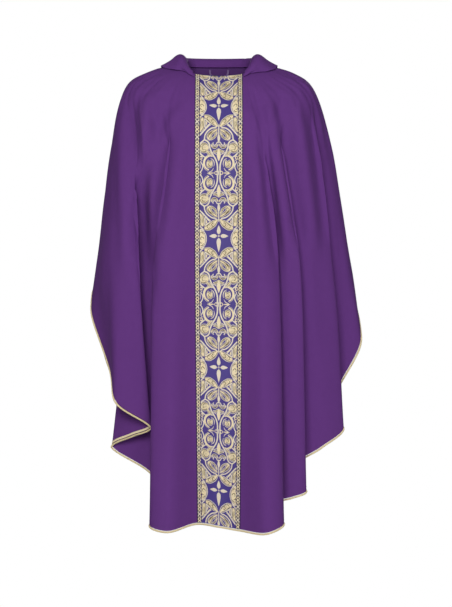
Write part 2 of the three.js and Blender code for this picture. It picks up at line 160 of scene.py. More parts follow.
# Each fold line: its direction at the neck in degrees from the middle of the front round by -X,
# then the points that it passes at the chest, at the waist and at the hem.
foldTable = [
    (0, (0, -.158, -.231), (0, -.172, -.561), (0, -.178, -1.272)),  # middle of the front
    (30, (-.066, -.156, -.231), (-.066, -.171, -.561), (-.059, -.208, -1.260)),  # band edge
    (38, (-.104, -.158, -.231), (-.118, -.186, -.561), (-.138, -.266, -1.274)),  # soft roll
    (45, (-.136, -.151, -.231), (-.173, -.168, -.561), (-.185, -.234, -1.262)),  # front of the main fold
    (50, (-.144, -.140, -.231), (-.160, -.120, -.561), (-.125, -.150, -1.205)),  # tucked behind it
    (56, (-.164, -.138, -.231), (-.196, -.100, -.561), (-.192, -.102, -1.130)),
    (63, (-.198, -.133, -.231), (-.240, -.072, -.561), (-.295, -.078, -1.064)),  # back of the side fold
    (68, (-.216, -.127, -.231), (-.232, -.102, -.561), (-.240, -.120, -1.032)),
    (74, (-.233, -.120, -.231), (-.218, -.140, -.561), (-.187, -.160, -1.004)),  # edge of the side fold
    (80, (-.262, -.096, -.231), (-.272, -.130, -.561), (-.277, -.165, -.938)),  # its soft roll
    (84, (-.288, -.058, -.231), (-.312, -.092, -.561), (-.300, -.105, -.850)),
    (87, (-.303, -.015, -.231), (-.333, -.025, -.521), (-.358, -.020, -.690)),  # outermost
    (92, (-.298, .020, -.225), (-.330, .045, -.450), (-.354, .060, -.628)),  # left shoulder seam
    (100, (-.272, .095, -.231), (-.298, .124, -.531), (-.316, .152, -.862)),
    (106, (-.236, .120, -.231), (-.236, .140, -.551), (-.212, .168, -.988)),
    (112, (-.216, .126, -.231), (-.236, .108, -.556), (-.252, .122, -1.022)),
    (117, (-.197, .132, -.231), (-.245, .078, -.561), (-.286, .072, -1.062)),
    (124, (-.161, .137, -.231), (-.190, .099, -.561), (-.186, .097, -1.132)),
    (130, (-.141, .140, -.231), (-.152, .119, -.561), (-.118, .150, -1.197)),
    (135, (-.129, .149, -.231), (-.165, .166, -.561), (-.178, .226, -1.262)),
    (142, (-.099, .154, -.231), (-.115, .178, -.561), (-.130, .256, -1.282)),
    (150, (-.066, .156, -.231), (-.066, .168, -.561), (-.066, .203, -1.278)),  # band edge
    (180, (0, .158, -.231), (0, .170, -.561), (0, .200, -1.288)),  # middle of the back
    (210, (.066, .156, -.231), (.066, .168, -.561), (.066, .203, -1.283)),  # band edge
    (218, (.099, .157, -.231), (.114, .179, -.561), (.126, .260, -1.288)),
    (225, (.119, .152, -.231), (.158, .167, -.561), (.172, .230, -1.268)),
    (230, (.131, .145, -.231), (.144, .133, -.561), (.118, .152, -1.225)),
    (236, (.149, .146, -.231), (.180, .153, -.561), (.195, .184, -1.207)),
    (243, (.169, .141, -.231), (.214, .151, -.561), (.232, .170, -1.187)),
    (248, (.181, .128, -.231), (.210, .113, -.561), (.188, .108, -1.135)),
    (254, (.213, .118, -.231), (.255, .110, -.561), (.277, .113, -1.080)),
    (260, (.270, .090, -.231), (.314, .086, -.561), (.340, .088, -1.012)),
    (265, (.284, .058, -.231), (.298, .048, -.541), (.300, .042, -.946)),
    (269, (.308, .025, -.225), (.354, .055, -.480), (.384, .066, -.668)),  # right shoulder seam
    (273, (.316, -.005, -.231), (.363, 0, -.541), (.400, 0, -.772)),  # outermost
    (277, (.299, -.034, -.231), (.338, -.022, -.551), (.342, -.012, -.888)),
    (281, (.278, -.058, -.231), (.300, -.042, -.556), (.294, -.034, -.962)),  # tucked behind the third fold
    (286, (.273, -.085, -.231), (.316, -.072, -.561), (.346, -.066, -1.014)),  # edge of the third fold
    (292, (.214, -.119, -.231), (.258, -.102, -.561), (.284, -.100, -1.064)),
    (297, (.183, -.130, -.231), (.216, -.110, -.561), (.190, -.102, -1.127)),  # tucked behind the second fold
    (304, (.173, -.142, -.231), (.221, -.148, -.561), (.238, -.162, -1.178)),  # edge of the second fold
    (310, (.150, -.147, -.231), (.184, -.150, -.561), (.200, -.174, -1.194)),
    (315, (.133, -.146, -.231), (.146, -.132, -.561), (.120, -.152, -1.217)),  # tucked behind the main fold
    (320, (.121, -.153, -.231), (.161, -.167, -.561), (.174, -.234, -1.256)),  # right edge of the main fold
    (324, (.104, -.159, -.231), (.119, -.187, -.561), (.130, -.266, -1.278)),  # soft roll
    (330, (.066, -.156, -.231), (.066, -.171, -.561), (.059, -.208, -1.278)),  # band edge
]
lineCount = len(foldTable)
seams = {"front": 0, "left": 12, "back": 22, "right": 33, "end": lineCount}


def signedPower(value, exponent):
    return math.copysign(abs(value) ** exponent, value)


def neckPoint(turn):
    side, ahead = -math.sin(math.radians(turn)), math.cos(math.radians(turn))
    start = math.sin(math.radians(cut["bandTurn"])) ** cut["neckRound"]
    share = (abs(side) ** cut["neckRound"] - start) / (1 - start)
    across = bandEdge + (cut["neckHalf"] - bandEdge) * share
    x = 0 if abs(side) < 0.01 else math.copysign(across, side)
    rise = 0.003 - (cut["neckDip"] + 0.003) * ahead ** 1.2 if ahead > 0 else 0.003 - 0.003 * ahead
    return np.array([x, -cut["neckDepth"] * signedPower(ahead, cut["neckRound"]), rise])


def turnOverPoint(turn):
    side, ahead = -math.sin(math.radians(turn)), math.cos(math.radians(turn))
    fall = cut["shoulderDrop"] + (cut["chestDrop"] - cut["shoulderDrop"]) * abs(ahead) ** 0.8
    x = cut["shoulderHalf"] * signedPower(side, 2)
    return np.array([x, -cut["chestDepth"] * signedPower(ahead, 0.45), -fall])


def foldLine(row):
    turn, chest, waist, hem = row
    neck, over = neckPoint(turn), turnOverPoint(turn)
    if abs(abs(chest[0]) - bandEdge) < 1e-6:
        over[0] = math.copysign(bandEdge, chest[0])
    yoke = (neck + over) / 2 + np.array([0, 0, cut["yokeRise"]])
    points = [neck, yoke, over] + [np.array(p, float) for p in (chest, waist, hem)]
    return [2 * points[0] - points[1]] + points + [2 * points[-1] - points[-2]]


foldLines = np.array([foldLine(row) for row in foldTable])
hemRow = 5.0


def curveThrough(p0, p1, p2, p3, t):
    # centripetal Catmull-Rom from p1 to p2
    span = lambda a, b: np.maximum(np.sum((b - a) ** 2, -1, keepdims=True) ** 0.25, 1e-6)
    d0, d1, d2 = span(p0, p1), span(p1, p2), span(p2, p3)
    m1 = ((p1 - p0) / d0 - (p2 - p0) / (d0 + d1) + (p2 - p1) / d1) * d1
    m2 = ((p2 - p1) / d1 - (p3 - p1) / (d1 + d2) + (p3 - p2) / d2) * d1
    bend = 3 * (p2 - p1) - 2 * m1 - m2
    return p1 + m1 * t + bend * t ** 2 + (2 * (p1 - p2) + m1 + m2) * t ** 3


def alongLine(line, v):
    first = np.clip(np.floor(v).astype(int), 0, 4)
    line = line % len(foldLines)
    near = [foldLines[line, first + k] for k in range(4)]
    return curveThrough(*near, (v - first)[..., None])


def plainCloth(u, v):
    first = np.floor(u).astype(int)
    near = [alongLine(first + k, v) for k in (-1, 0, 1, 2)]
    return curveThrough(*near, (u - first)[..., None])


def unit(vectors):
    return vectors / np.maximum(np.linalg.norm(vectors, axis=-1, keepdims=True), 1e-9)


def slopes(surface, u, v, step=0.02):
    low, high = np.minimum(v + step, hemRow), np.maximum(v - step, 0)
    across = surface(u + step, v) - surface(u - step, v)
    down = (surface(u, low) - surface(u, high)) / (low - high)[..., None]
    return across / (2 * step), down


def runLengths(points):
    return np.concatenate([[0], np.cumsum(np.linalg.norm(np.diff(points, axis=0), axis=1))])


def valuesAt(places, lengths, values):
    return np.stack([np.interp(places, lengths, column) for column in values.T], 1)


def smooth(low, high, value):
    share = np.clip((value - low) / (high - low), 0, 1)
    return share * share * (3 - 2 * share)


# Shallow folds in the upper front: the points that each valley passes (x, z), how deep it is and
# how wide.
softFolds = [
    ([(-.244, -.066), (-.243, -.163), (-.235, -.251), (-.227, -.330), (-.221, -.420), (-.217, -.520),
      (-.213, -.64)],
     .0130, .022),
    ([(-.118, -.066), (-.150, -.140), (-.176, -.220), (-.196, -.320), (-.209, -.420), (-.216, -.560)],
     .0085, .020),
    ([(-.137, -.170), (-.141, -.239), (-.153, -.326), (-.168, -.430), (-.186, -.540), (-.192, -.70)],
     .0100, .021),
    ([(.080, -.070), (.112, -.140), (.146, -.224), (.164, -.300)], .0060, .018),
    ([(.150, -.077), (.171, -.115), (.179, -.178), (.186, -.240), (.198, -.320), (.216, -.430),
      (.236, -.560)],
     .0125, .021),
    ([(.104, -.182), (.131, -.300), (.142, -.379), (.153, -.488), (.164, -.620)], .0090, .020),
    ([(.249, -.109), (.264, -.187), (.280, -.300), (.293, -.449), (.300, -.58)], .0100, .021),
]
drift = {
    "foldGain": 1.15, "foldStarts": 0.08, "foldEnds": 0.14,  # a fold comes and goes over these
    "ridgeAt": 1.8, "ridgeWidth": 0.9, "ridgeShare": 0.42,  # the rise beside a valley, as shares of it
    "depth": 0.0016, "seamDip": 0.0007, "seamHalf": 0.05,
}


def softRelief(u, v, base, normal):
    facing = smooth(0.15, 0.6, -normal[..., 1]) * smooth(0.02, 0.09, -base[..., 1])
    push = np.zeros(u.shape)
    for points, depth, width in softFolds:
        line = np.array(points)
        length = np.cumsum([0, *np.linalg.norm(np.diff(line, axis=0), axis=1)])
        best, place = np.full(u.shape, 9.0), np.zeros(u.shape)
        for a, b, start in zip(line[:-1], line[1:], length):
            dx, dz = b - a
            px, pz = base[..., 0] - a[0], base[..., 2] - a[1]
            share = np.clip((px * dx + pz * dz) / (dx * dx + dz * dz), 0, 1)
            off = np.hypot(px - share * dx, pz - share * dz)
            near = off < best
            best = np.where(near, off, best)
            place = np.where(near, start + share * math.hypot(dx, dz), place)
        end = length[-1]
        fade = smooth(0, drift["foldStarts"], place) * (1 - smooth(end - drift["foldEnds"], end, place))
        valley = np.exp(-(best / width) ** 2)
        ridge = np.exp(-((best - drift["ridgeAt"] * width) / (drift["ridgeWidth"] * width)) ** 2)
        push += facing * fade * depth * drift["foldGain"] * (drift["ridgeShare"] * ridge - valley)
    # slow unevenness of hanging cloth, none at the neckline or on the bands
    calm = smooth(0.6, 1.6, v) * smooth(1.2, 2.4, np.minimum(
        np.minimum(u, lineCount - u), np.abs(u - seams["back"])))
    wave = (np.sin(u * 2.3 + v * 1.1) * np.sin(v * 2.9 - u * 0.7 + 1.3)
            + 0.6 * np.sin(u * 5.1 - v * 2.0 + 0.5) * np.sin(v * 5.3 + u * 1.7))
    push += drift["depth"] * calm * wave
    # the sewn shoulder seams lie a little lower
    for seam in (seams["left"], seams["right"]):
        push -= drift["seamDip"] * np.exp(-((u - seam) / drift["seamHalf"]) ** 2)
    return push


def draped(u, v):
    # middle of the cloth and its outward direction
    u, v = np.broadcast_arrays(np.asarray(u, float), np.asarray(v, float))
    u = (u + lineCount) % lineCount
    base = plainCloth(u, v)
    across, down = slopes(plainCloth, u, v)
    normal = unit(np.cross(across, down))
    return base + normal * softRelief(u, v, base, normal)[..., None], normal


def drapedOnly(u, v):
    return draped(u, v)[0]


# Mesh helpers
def setPiece(name, mesh, material, cadNodes=(), body="garment", slot=None, creaseAngle=50):
    mesh.polygons.foreach_set("use_smooth", [True] * len(mesh.polygons))
    mesh.materials.append(material)
    mesh.set_sharp_from_angle(angle=math.radians(creaseAngle))
    piece = bpy.data.objects.new(name, mesh)
    bpy.context.collection.objects.link(piece)
    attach(piece, body)
    if cadNodes:
        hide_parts(*cadNodes)
    return piece


def addPiece(name, points, faces, uvs, material, **options):
    mesh = bpy.data.meshes.new(name)
    mesh.from_pydata(points.reshape(-1, 3).tolist(), [], faces.tolist())
    layer = mesh.uv_layers.new(name="cloth")
    corners = np.empty(len(mesh.loops), int)
    mesh.loops.foreach_get("vertex_index", corners)
    layer.data.foreach_set("uv", uvs.reshape(-1, 2)[corners].ravel())
    return setPiece(name, mesh, material, **options)


def gridFaces(rows, columns, start=0, flip=False):
    i, j = np.meshgrid(np.arange(rows - 1), np.arange(columns - 1), indexing="ij")
    a = start + (i * columns + j).ravel()
    quads = np.stack([a, a + 1, a + columns + 1, a + columns], 1)
    return quads[:, ::-1] if flip else quads


def clothUv(grid, acrossFrom=0.0):
    # lengths along the cloth itself, in metres, so that a weave keeps its real size
    across = np.zeros(grid.shape[:2])
    across[:, 1:] = np.cumsum(np.linalg.norm(np.diff(grid, axis=1), axis=2), axis=1)
    down = np.zeros(grid.shape[:2])
    down[1:] = np.cumsum(np.linalg.norm(np.diff(grid, axis=0), axis=2), axis=0)
    return np.stack([across + acrossFrom, -down], 2)


def shell(name, outer, inner, material, **options):
    # closed sheet between two grids of points
    rows, columns = outer.shape[:2]
    count = rows * columns
    at = lambda i, j: i * columns + j
    faces = [gridFaces(rows, columns), gridFaces(rows, columns, count, True)]
    top = [[at(0, j + 1), at(0, j), at(0, j) + count, at(0, j + 1) + count] for j in range(columns - 1)]
    low = [[at(rows - 1, j), at(rows - 1, j + 1), at(rows - 1, j + 1) + count, at(rows - 1, j) + count]
           for j in range(columns - 1)]
    left = [[at(i, 0), at(i + 1, 0), at(i + 1, 0) + count, at(i, 0) + count] for i in range(rows - 1)]
    right = [[at(i + 1, columns - 1), at(i, columns - 1), at(i, columns - 1) + count,
              at(i + 1, columns - 1) + count] for i in range(rows - 1)]
    faces = np.concatenate([*faces, top, low, left, right])
    uv = clothUv((outer + inner) / 2)
    return addPiece(name, np.concatenate([outer.reshape(-1, 3), inner.reshape(-1, 3)]), faces,
                    np.concatenate([uv.reshape(-1, 2)] * 2), material, **options)


def loft(name, rings, material, **options):
    # rings (rings, points, 3): a skin over closed cross-sections, with flat ends
    count, sides = rings.shape[:2]
    wrapped = np.concatenate([rings, rings[:, :1]], 1)
    around = np.zeros((count, sides + 1))
    around[:, 1:] = np.cumsum(np.linalg.norm(np.diff(wrapped, axis=1), axis=2), 1)
    along = runLengths(rings.mean(1))
    faces, uvs = [], []
    for i in range(count - 1):
        for k in range(sides):
            m = (k + 1) % sides
            faces.append((i * sides + k, i * sides + m, (i + 1) * sides + m, (i + 1) * sides + k))
            uvs += [(along[i], around[i, k]), (along[i], around[i, k + 1]),
                    (along[i + 1], around[i, k + 1]), (along[i + 1], around[i, k])]
    for i, turn in ((0, -1), (count - 1, 1)):
        faces.append(tuple(i * sides + k for k in range(sides))[::turn])
        uvs += [(along[i], around[i, k]) for k in range(sides)][::turn]
    mesh = bpy.data.meshes.new(name)
    mesh.from_pydata(rings.reshape(-1, 3).tolist(), [], faces)
    mesh.uv_layers.new(name="cloth").data.foreach_set("uv", np.array(uvs).ravel())
    turned = bmesh.new()
    turned.from_mesh(mesh)
    bmesh.ops.recalc_face_normals(turned, faces=turned.faces)
    turned.to_mesh(mesh)
    turned.free()
    return setPiece(name, mesh, material, **options)


# Finishes
def nodeGroup(name, inputs, outputs):
    group = bpy.data.node_groups.new(name, "ShaderNodeTree")
    for label, kind, value in inputs:
        socket = group.interface.new_socket(name=label, in_out="INPUT", socket_type=kind)
        if value is not None:
            socket.default_value = value
    for label, kind in outputs:
        group.interface.new_socket(name=label, in_out="OUTPUT", socket_type=kind)
    return group, group.nodes.new("NodeGroupInput"), group.nodes.new("NodeGroupOutput")


def feed(tree, target, source):
    if isinstance(source, (int, float, tuple)):
        target.default_value = source
    else:
        tree.links.new(source, target)


def maths(tree, operation, *values):
    node = tree.nodes.new("ShaderNodeMath")
    node.operation = operation
    for socket, value in zip(node.inputs, values):
        feed(tree, socket, value)
    return node.outputs[0]


def makeWeaveGroup():
    # woven threads: warp floats over weft where the twill step says so
    group, into, out = nodeGroup("wovenThreads", [
        ("Vector", "NodeSocketVector", None), ("Warp Count", "NodeSocketFloat", 1600.0),
        ("Weft Count", "NodeSocketFloat", 1500.0), ("Twill", "NodeSocketFloat", 0.5),
    ], [("Height", "NodeSocketFloat"), ("Mask", "NodeSocketFloat")])
    split = group.nodes.new("ShaderNodeSeparateXYZ")
    group.links.new(into.outputs["Vector"], split.inputs[0])
    x = maths(group, "MULTIPLY", split.outputs[0], into.outputs["Warp Count"])
    y = maths(group, "MULTIPLY", split.outputs[1], into.outputs["Weft Count"])
    warp = maths(group, "ABSOLUTE", maths(group, "SINE", maths(group, "MULTIPLY", x, math.pi)))
    weft = maths(group, "ABSOLUTE", maths(group, "SINE", maths(group, "MULTIPLY", y, math.pi)))
    step = maths(group, "ADD", x, maths(group, "MULTIPLY", y, into.outputs["Twill"]))
    slope = maths(group, "SINE", maths(group, "MULTIPLY", step, math.pi))
    over = maths(group, "ADD", maths(group, "MULTIPLY", slope, 0.5), 0.5)
    under = maths(group, "SUBTRACT", 1.0, over)
    height = maths(group, "ADD", maths(group, "MULTIPLY", warp, over),
                   maths(group, "MULTIPLY", weft, under))
    group.links.new(height, out.inputs["Height"])
    group.links.new(over, out.inputs["Mask"])
    return group


def makeStrandGroup():
    # fine strands laid side by side, slanting as they are twisted
    group, into, out = nodeGroup("threadStrands", [
        ("Vector", "NodeSocketVector", None), ("Strand Count", "NodeSocketFloat", 2500.0),
        ("Slant", "NodeSocketFloat", 0.3),
    ], [("Height", "NodeSocketFloat"), ("Mask", "NodeSocketFloat")])
    split = group.nodes.new("ShaderNodeSeparateXYZ")
    group.links.new(into.outputs["Vector"], split.inputs[0])
    lean = maths(group, "ADD", split.outputs[0],
                 maths(group, "MULTIPLY", split.outputs[1], into.outputs["Slant"]))
    strand = maths(group, "MULTIPLY", lean, into.outputs["Strand Count"])
    ridge = maths(group, "ABSOLUTE", maths(group, "SINE", maths(group, "MULTIPLY", strand, math.pi)))
    number = maths(group, "FLOOR", strand)
    shade = group.nodes.new("ShaderNodeTexWhiteNoise")
    shade.noise_dimensions = "1D"
    group.links.new(number, shade.inputs["W"])
    group.links.new(ridge, out.inputs["Height"])
    group.links.new(shade.outputs["Value"], out.inputs["Mask"])
    return group


def makeToneGroup():
    # broad and fine unevenness of the dye
    group, into, out = nodeGroup("dyeUnevenness", [
        ("Vector", "NodeSocketVector", None), ("Broad Scale", "NodeSocketFloat", 4.0),
        ("Fine Scale", "NodeSocketFloat", 90.0),
    ], [("Mask", "NodeSocketFloat")])
    noises = []
    for label, detail in (("Broad Scale", 3.0), ("Fine Scale", 2.0)):
        noise = group.nodes.new("ShaderNodeTexNoise")
        group.links.new(into.outputs["Vector"], noise.inputs["Vector"])
        group.links.new(into.outputs[label], noise.inputs["Scale"])
        noise.inputs["Detail"].default_value = detail
        noises.append(noise.outputs["Fac"])
    both = maths(group, "ADD", maths(group, "MULTIPLY", noises[0], 0.6),
                 maths(group, "MULTIPLY", noises[1], 0.4))
    group.links.new(both, out.inputs["Mask"])
    return group


weaveGroup, strandGroup, toneGroup = makeWeaveGroup(), makeStrandGroup(), makeToneGroup()


def blendColours(tree, factor, first, second):
    mix = tree.nodes.new("ShaderNodeMix")
    mix.data_type = "RGBA"
    feed(tree, mix.inputs["Factor"], factor)
    feed(tree, mix.inputs[6], first)  # the colour sockets come after the number and vector ones
    feed(tree, mix.inputs[7], second)
    return mix.outputs[2]


def threadFinish(name, look):
    # one thread or cloth finish: two tones of the weave or of the strands, dye unevenness, painted shade in
    # the grooves between threads and relief
    material = bpy.data.materials.new(name)
    material.use_nodes = True
    tree = material.node_tree
    shader = tree.nodes["Principled BSDF"]
    lengths = tree.nodes.new("ShaderNodeUVMap")
    lengths.uv_map = "cloth"
    threads = tree.nodes.new("ShaderNodeGroup")
    threads.node_tree = weaveGroup if "warp" in look else strandGroup
    tree.links.new(lengths.outputs[0], threads.inputs["Vector"])
    sockets = {"warp": "Warp Count", "weft": "Weft Count", "twill": "Twill", "strands": "Strand Count",
               "slant": "Slant"}
    for key, socket in sockets.items():
        if key in look:
            threads.inputs[socket].default_value = look[key]
    places = tree.nodes.new("ShaderNodeTexCoord")
    dye = tree.nodes.new("ShaderNodeGroup")
    dye.node_tree = toneGroup
    tree.links.new(places.outputs["Object"], dye.inputs["Vector"])
    dye.inputs["Broad Scale"].default_value = look.get("broad", 4.0)
    dye.inputs["Fine Scale"].default_value = look.get("fine", 90.0)
    woven = blendColours(tree, threads.outputs["Mask"], (*look["light"], 1), (*look["deep"], 1))
    # painted shade: the colour darkens towards a dark tone where the threads dip, standing in for the shadow
    # in the grooves between them
    threadGrooveShade = maths(tree, "MULTIPLY", maths(tree, "SUBTRACT", 1.0, threads.outputs["Height"]),
                   look.get("threadGrooveShade", 0.25))
    woven = blendColours(tree, threadGrooveShade, woven, (*[0.35 * c for c in look["deep"]], 1))
    spread = tree.nodes.new("ShaderNodeMapRange")
    tree.links.new(dye.outputs["Mask"], spread.inputs["Value"])
    for socket, value in (("From Min", 0.35), ("From Max", 0.65), ("To Min", 0),
                          ("To Max", look.get("uneven", 0.2))):
        spread.inputs[socket].default_value = value
    woven = blendColours(tree, spread.outputs[0], woven, (*[0.78 * c for c in look["deep"]], 1))
    tree.links.new(woven, shader.inputs["Base Color"])
    rough = tree.nodes.new("ShaderNodeMapRange")
    tree.links.new(threads.outputs["Height"], rough.inputs["Value"])
    rough.inputs["To Min"].default_value = min(1, look["roughness"] + 0.12)
    rough.inputs["To Max"].default_value = look["roughness"]
    tree.links.new(rough.outputs[0], shader.inputs["Roughness"])
    relief = tree.nodes.new("ShaderNodeBump")
    relief.inputs["Strength"].default_value = look.get("relief", 0.5)
    relief.inputs["Distance"].default_value = look.get("threadDepth", 0.0002)
    tree.links.new(threads.outputs["Height"], relief.inputs["Height"])
    tree.links.new(relief.outputs[0], shader.inputs["Normal"])
    gloss = {"Metallic": look.get("metallic", 0.0), "Specular IOR Level": look.get("specular", 0.35),
             "Sheen Weight": look.get("sheen", 0.0), "Sheen Roughness": 0.45,
             "Sheen Tint": (*look.get("sheenTint", (1, 1, 1)), 1)}
    for socket, value in gloss.items():
        shader.inputs[socket].default_value = value
    return material


finishes = {
    "purpleTwill": {"light": (.152, .049, .252), "deep": (.120, .035, .202), "warp": 1500, "weft": 1350,
                    "twill": 0.5, "roughness": 0.85, "sheen": 0.06, "sheenTint": (.62, .32, .9),
                    "relief": 0.35, "uneven": 0.22, "specular": 0.12, "fine": 60.0},
    "brocadeGround": {"light": (.078, .050, .300), "deep": (.052, .030, .200), "warp": 2200, "weft": 900,
                      "twill": 0.0, "roughness": 0.5, "sheen": 0.1, "relief": 0.5, "uneven": 0.15},
    "galloonGround": {"light": (.040, .022, .075), "deep": (.026, .014, .048), "warp": 1400, "weft": 700,
                      "twill": 0.0, "roughness": 0.6, "relief": 0.6, "uneven": 0.15},
    "creamThread": {"light": (.90, .82, .68), "deep": (.76, .66, .50), "strands": 1900, "slant": 0.35,
                    "roughness": 0.5, "sheen": 0.1, "relief": 0.6, "uneven": 0.12, "threadGrooveShade": 0.18},
    "goldThread": {"light": (1.0, .88, .60), "deep": (.84, .68, .40), "strands": 1700, "slant": -0.4,
                   "roughness": 0.42, "metallic": 0.0, "relief": 0.7, "uneven": 0.18, "threadGrooveShade": 0.15,
                   "fine": 420.0},
    # dark gold thread for curls and veins, also used as painted shadow under the gold leaves
    "darkGoldThread": {"light": (.13, .075, .022), "deep": (.07, .04, .014), "strands": 1700,
                       "slant": 0.4, "roughness": 0.45, "metallic": 0.25, "relief": 0.7, "uneven": 0.2},
    "goldCord": {"light": (1.0, .88, .56), "deep": (.95, .76, .42), "strands": 1500, "slant": 0.9,
                 "roughness": 0.4, "metallic": 0.0, "relief": 0.8, "uneven": 0.12, "threadGrooveShade": 0.15},
    "satinLining": {"light": (.115, .038, .200), "deep": (.085, .026, .150), "warp": 2600, "weft": 1400,
                    "twill": 0.25, "roughness": 0.42, "relief": 0.3, "uneven": 0.15, "specular": 0.5},
    "purpleThread": {"light": (.130, .045, .230), "deep": (.095, .030, .170), "strands": 3000,
                     "slant": 0.8, "roughness": 0.5, "relief": 0.6},
    "labelSatin": {"light": (.82, .77, .68), "deep": (.70, .65, .56), "warp": 2400, "weft": 2400,
                   "twill": 0.25, "roughness": 0.45, "relief": 0.4, "uneven": 0.08},
}
finish = {name: threadFinish(name, look) for name, look in finishes.items()}
print("finishes made:", len(finish))

# Body cloth: four panels, joined at the shoulders and under the bands
body = {
    "perFold": 10, "thick": cut["cloth"],
    "rows": [0, .12, .25, .4, .55, .7, .85],  # close rows over the collar's edge
    "rowStep": 0.05,
}
rowMarks = np.concatenate([body["rows"], np.arange(1, hemRow + 0.001, body["rowStep"])])
halfCloth = body["thick"] / 2


def faceGrid(us, vs, *offsets):
    u, v = np.meshgrid(us, vs)
    point, normal = draped(u, v)
    return [point + normal * offset for offset in offsets]


def columnsBetween(start, end, perFold=None):
    return np.linspace(start, end, int(round((end - start) * (perFold or body["perFold"]))) + 1)


def makePanel(name, start, end):
    columns = columnsBetween(start, end)
    trim = cut["gap"] / 2 / 0.06  # in lines, so that neighbours don't touch
    columns[0], columns[-1] = columns[0] + trim, columns[-1] - trim
    outer, inner = faceGrid(columns, rowMarks, halfCloth, -halfCloth)
    panel = shell(name, outer, inner, finish["purpleTwill"], cadNodes=[name], slot="cloth")
    return panel


panels = {
    "front_left_panel": makePanel("front_left_panel", seams["front"], seams["left"]),
    "back_left_panel": makePanel("back_left_panel", seams["left"], seams["back"]),
    "back_right_panel": makePanel("back_right_panel", seams["back"], seams["right"]),
    "front_right_panel": makePanel("front_right_panel", seams["right"], seams["end"]),
}
print("body cloth draped")

# Places on a band: s metres across from its middle, t metres down from the neckline
bandSide = {"front": (seams["end"], -1), "back": (seams["back"], 1)}  # middle line, step towards +X
bandGrid = {"rows": 50, "finer": 8, "half": 16}  # steps down, fine steps in each, steps to one side
bandRuler = {}
for sideName, (middle, step) in bandSide.items():
    half = bandGrid["half"]
    marks = np.linspace(0, hemRow, bandGrid["rows"] * bandGrid["finer"] + 1)
    centre = drapedOnly(np.full(len(marks), float(middle)), marks)
    lengths = runLengths(centre)
    reach = np.linspace(-1, 1, 2 * half + 1)
    across = drapedOnly(middle + step * reach[None, :], marks[::bandGrid["finer"], None])
    widths = np.zeros(across.shape[:2])
    widths[:, 1:] = np.cumsum(np.linalg.norm(np.diff(across, axis=1), axis=2), 1)
    widths -= widths[:, half:half + 1]
    shares = np.where(widths < 0, widths / -widths[:, :1], widths / widths[:, -1:])
    even = np.array([np.interp(reach, row, reach) for row in shares])
    bandRuler[sideName] = {"marks": marks, "lengths": lengths, "heights": centre[:, 2], "even": even,
                           "length": lengths[-1]}


def onBand(sideName, s, t, rise):
    ruler, (middle, step) = bandRuler[sideName], bandSide[sideName]
    v = np.interp(t, ruler["lengths"], ruler["marks"])
    rows, half = bandGrid["rows"], bandGrid["half"]
    row, column = v / hemRow * rows, (np.clip(s / bandEdge, -1, 1) + 1) * half
    i, k = np.minimum(row.astype(int), rows - 1), np.minimum(column.astype(int), 2 * half - 1)
    a, b = row - i, column - k
    even = ruler["even"]
    reach = ((even[i, k] * (1 - b) + even[i, k + 1] * b) * (1 - a)
             + (even[i + 1, k] * (1 - b) + even[i + 1, k + 1] * b) * a)
    point, normal = draped(middle + step * reach, v)
    beyond = s - np.clip(s, -bandEdge, bandEdge)  # picots stand just past the edge
    point = point + beyond[..., None] * np.array([1.0, 0, 0])
    return point + normal * np.asarray(rise)[..., None]


# The woven bands and their galloon edges
band = {
    "seat": cut["cloth"] / 2 + 0.00025, "thick": 0.0011, "galloonThick": 0.0015,
    "rowStep": 0.009, "round": 0.0004, "endGap": 0.0004,
}


def strip(name, sideName, low, high, thick, material, **options):
    # a flat woven strip with rounded edges
    length = bandRuler[sideName]["length"]
    rows = np.linspace(band["endGap"], length - band["endGap"], int(length / band["rowStep"]))
    edge, top, seat = band["round"], band["seat"] + thick, band["seat"]
    inner = np.linspace(low + edge, high - edge, max(4, int((high - low) / 0.008)))
    crown = [(s, top - 0.0001 * (i in (0, len(inner) - 1))) for i, s in enumerate(inner)]
    profile = ([(low, seat + thick * 0.5)] + crown
               + [(high, seat + thick * 0.5)] + [(s, seat) for s in inner[::-1]])
    s, rise = np.array(profile).T
    rings = onBand(sideName, *np.broadcast_arrays(s[None, :], rows[:, None], rise[None, :]))
    return loft(name, rings, material, **options)


bandGrounds, galloons = {}, {}
for sideName in bandSide:
    half, slack = cut["bandHalf"], 0.00015
    bandGrounds[sideName] = strip(f"{sideName}_band", sideName, slack - half, half - slack, band["thick"],
                                  finish["brocadeGround"], cadNodes=[f"{sideName}_band"], slot="brocade")
    for hand, low in (("left", -bandEdge), ("right", half)):
        name = f"{sideName}_galloon_{hand}"
        galloons[name] = strip(name, sideName, low, low + cut["galloonWidth"], band["galloonThick"],
                               finish["galloonGround"], cadNodes=[name], slot="galloon")
print("bands and galloons laid on")

# Raised threadwork, drawn in millimetres on the flat band: (s across, t down)
def evenPath(points, step, closed=False):
    points = np.array(points, float)
    if closed:
        points = np.concatenate([points[-1:], points, points[:2]])
    else:
        points = np.concatenate([[2 * points[0] - points[1]], points, [2 * points[-1] - points[-2]]])
    share = np.linspace(0, 1, 13)[:-1, None]
    fine = [curveThrough(*points[i:i + 4], share) for i in range(len(points) - 3)]
    fine = np.concatenate([*fine, points[-2][None]])
    length = runLengths(fine)
    count = max(4, int(math.ceil(length[-1] / step)) + 1)
    marks = np.linspace(0, length[-1], count)
    return valuesAt(marks, length, fine), marks


domeAcross = np.array([-0.5, -0.32, 0, 0.32, 0.5])
domeRise = np.array([-0.25, 0.72, 1, 0.72, -0.25])


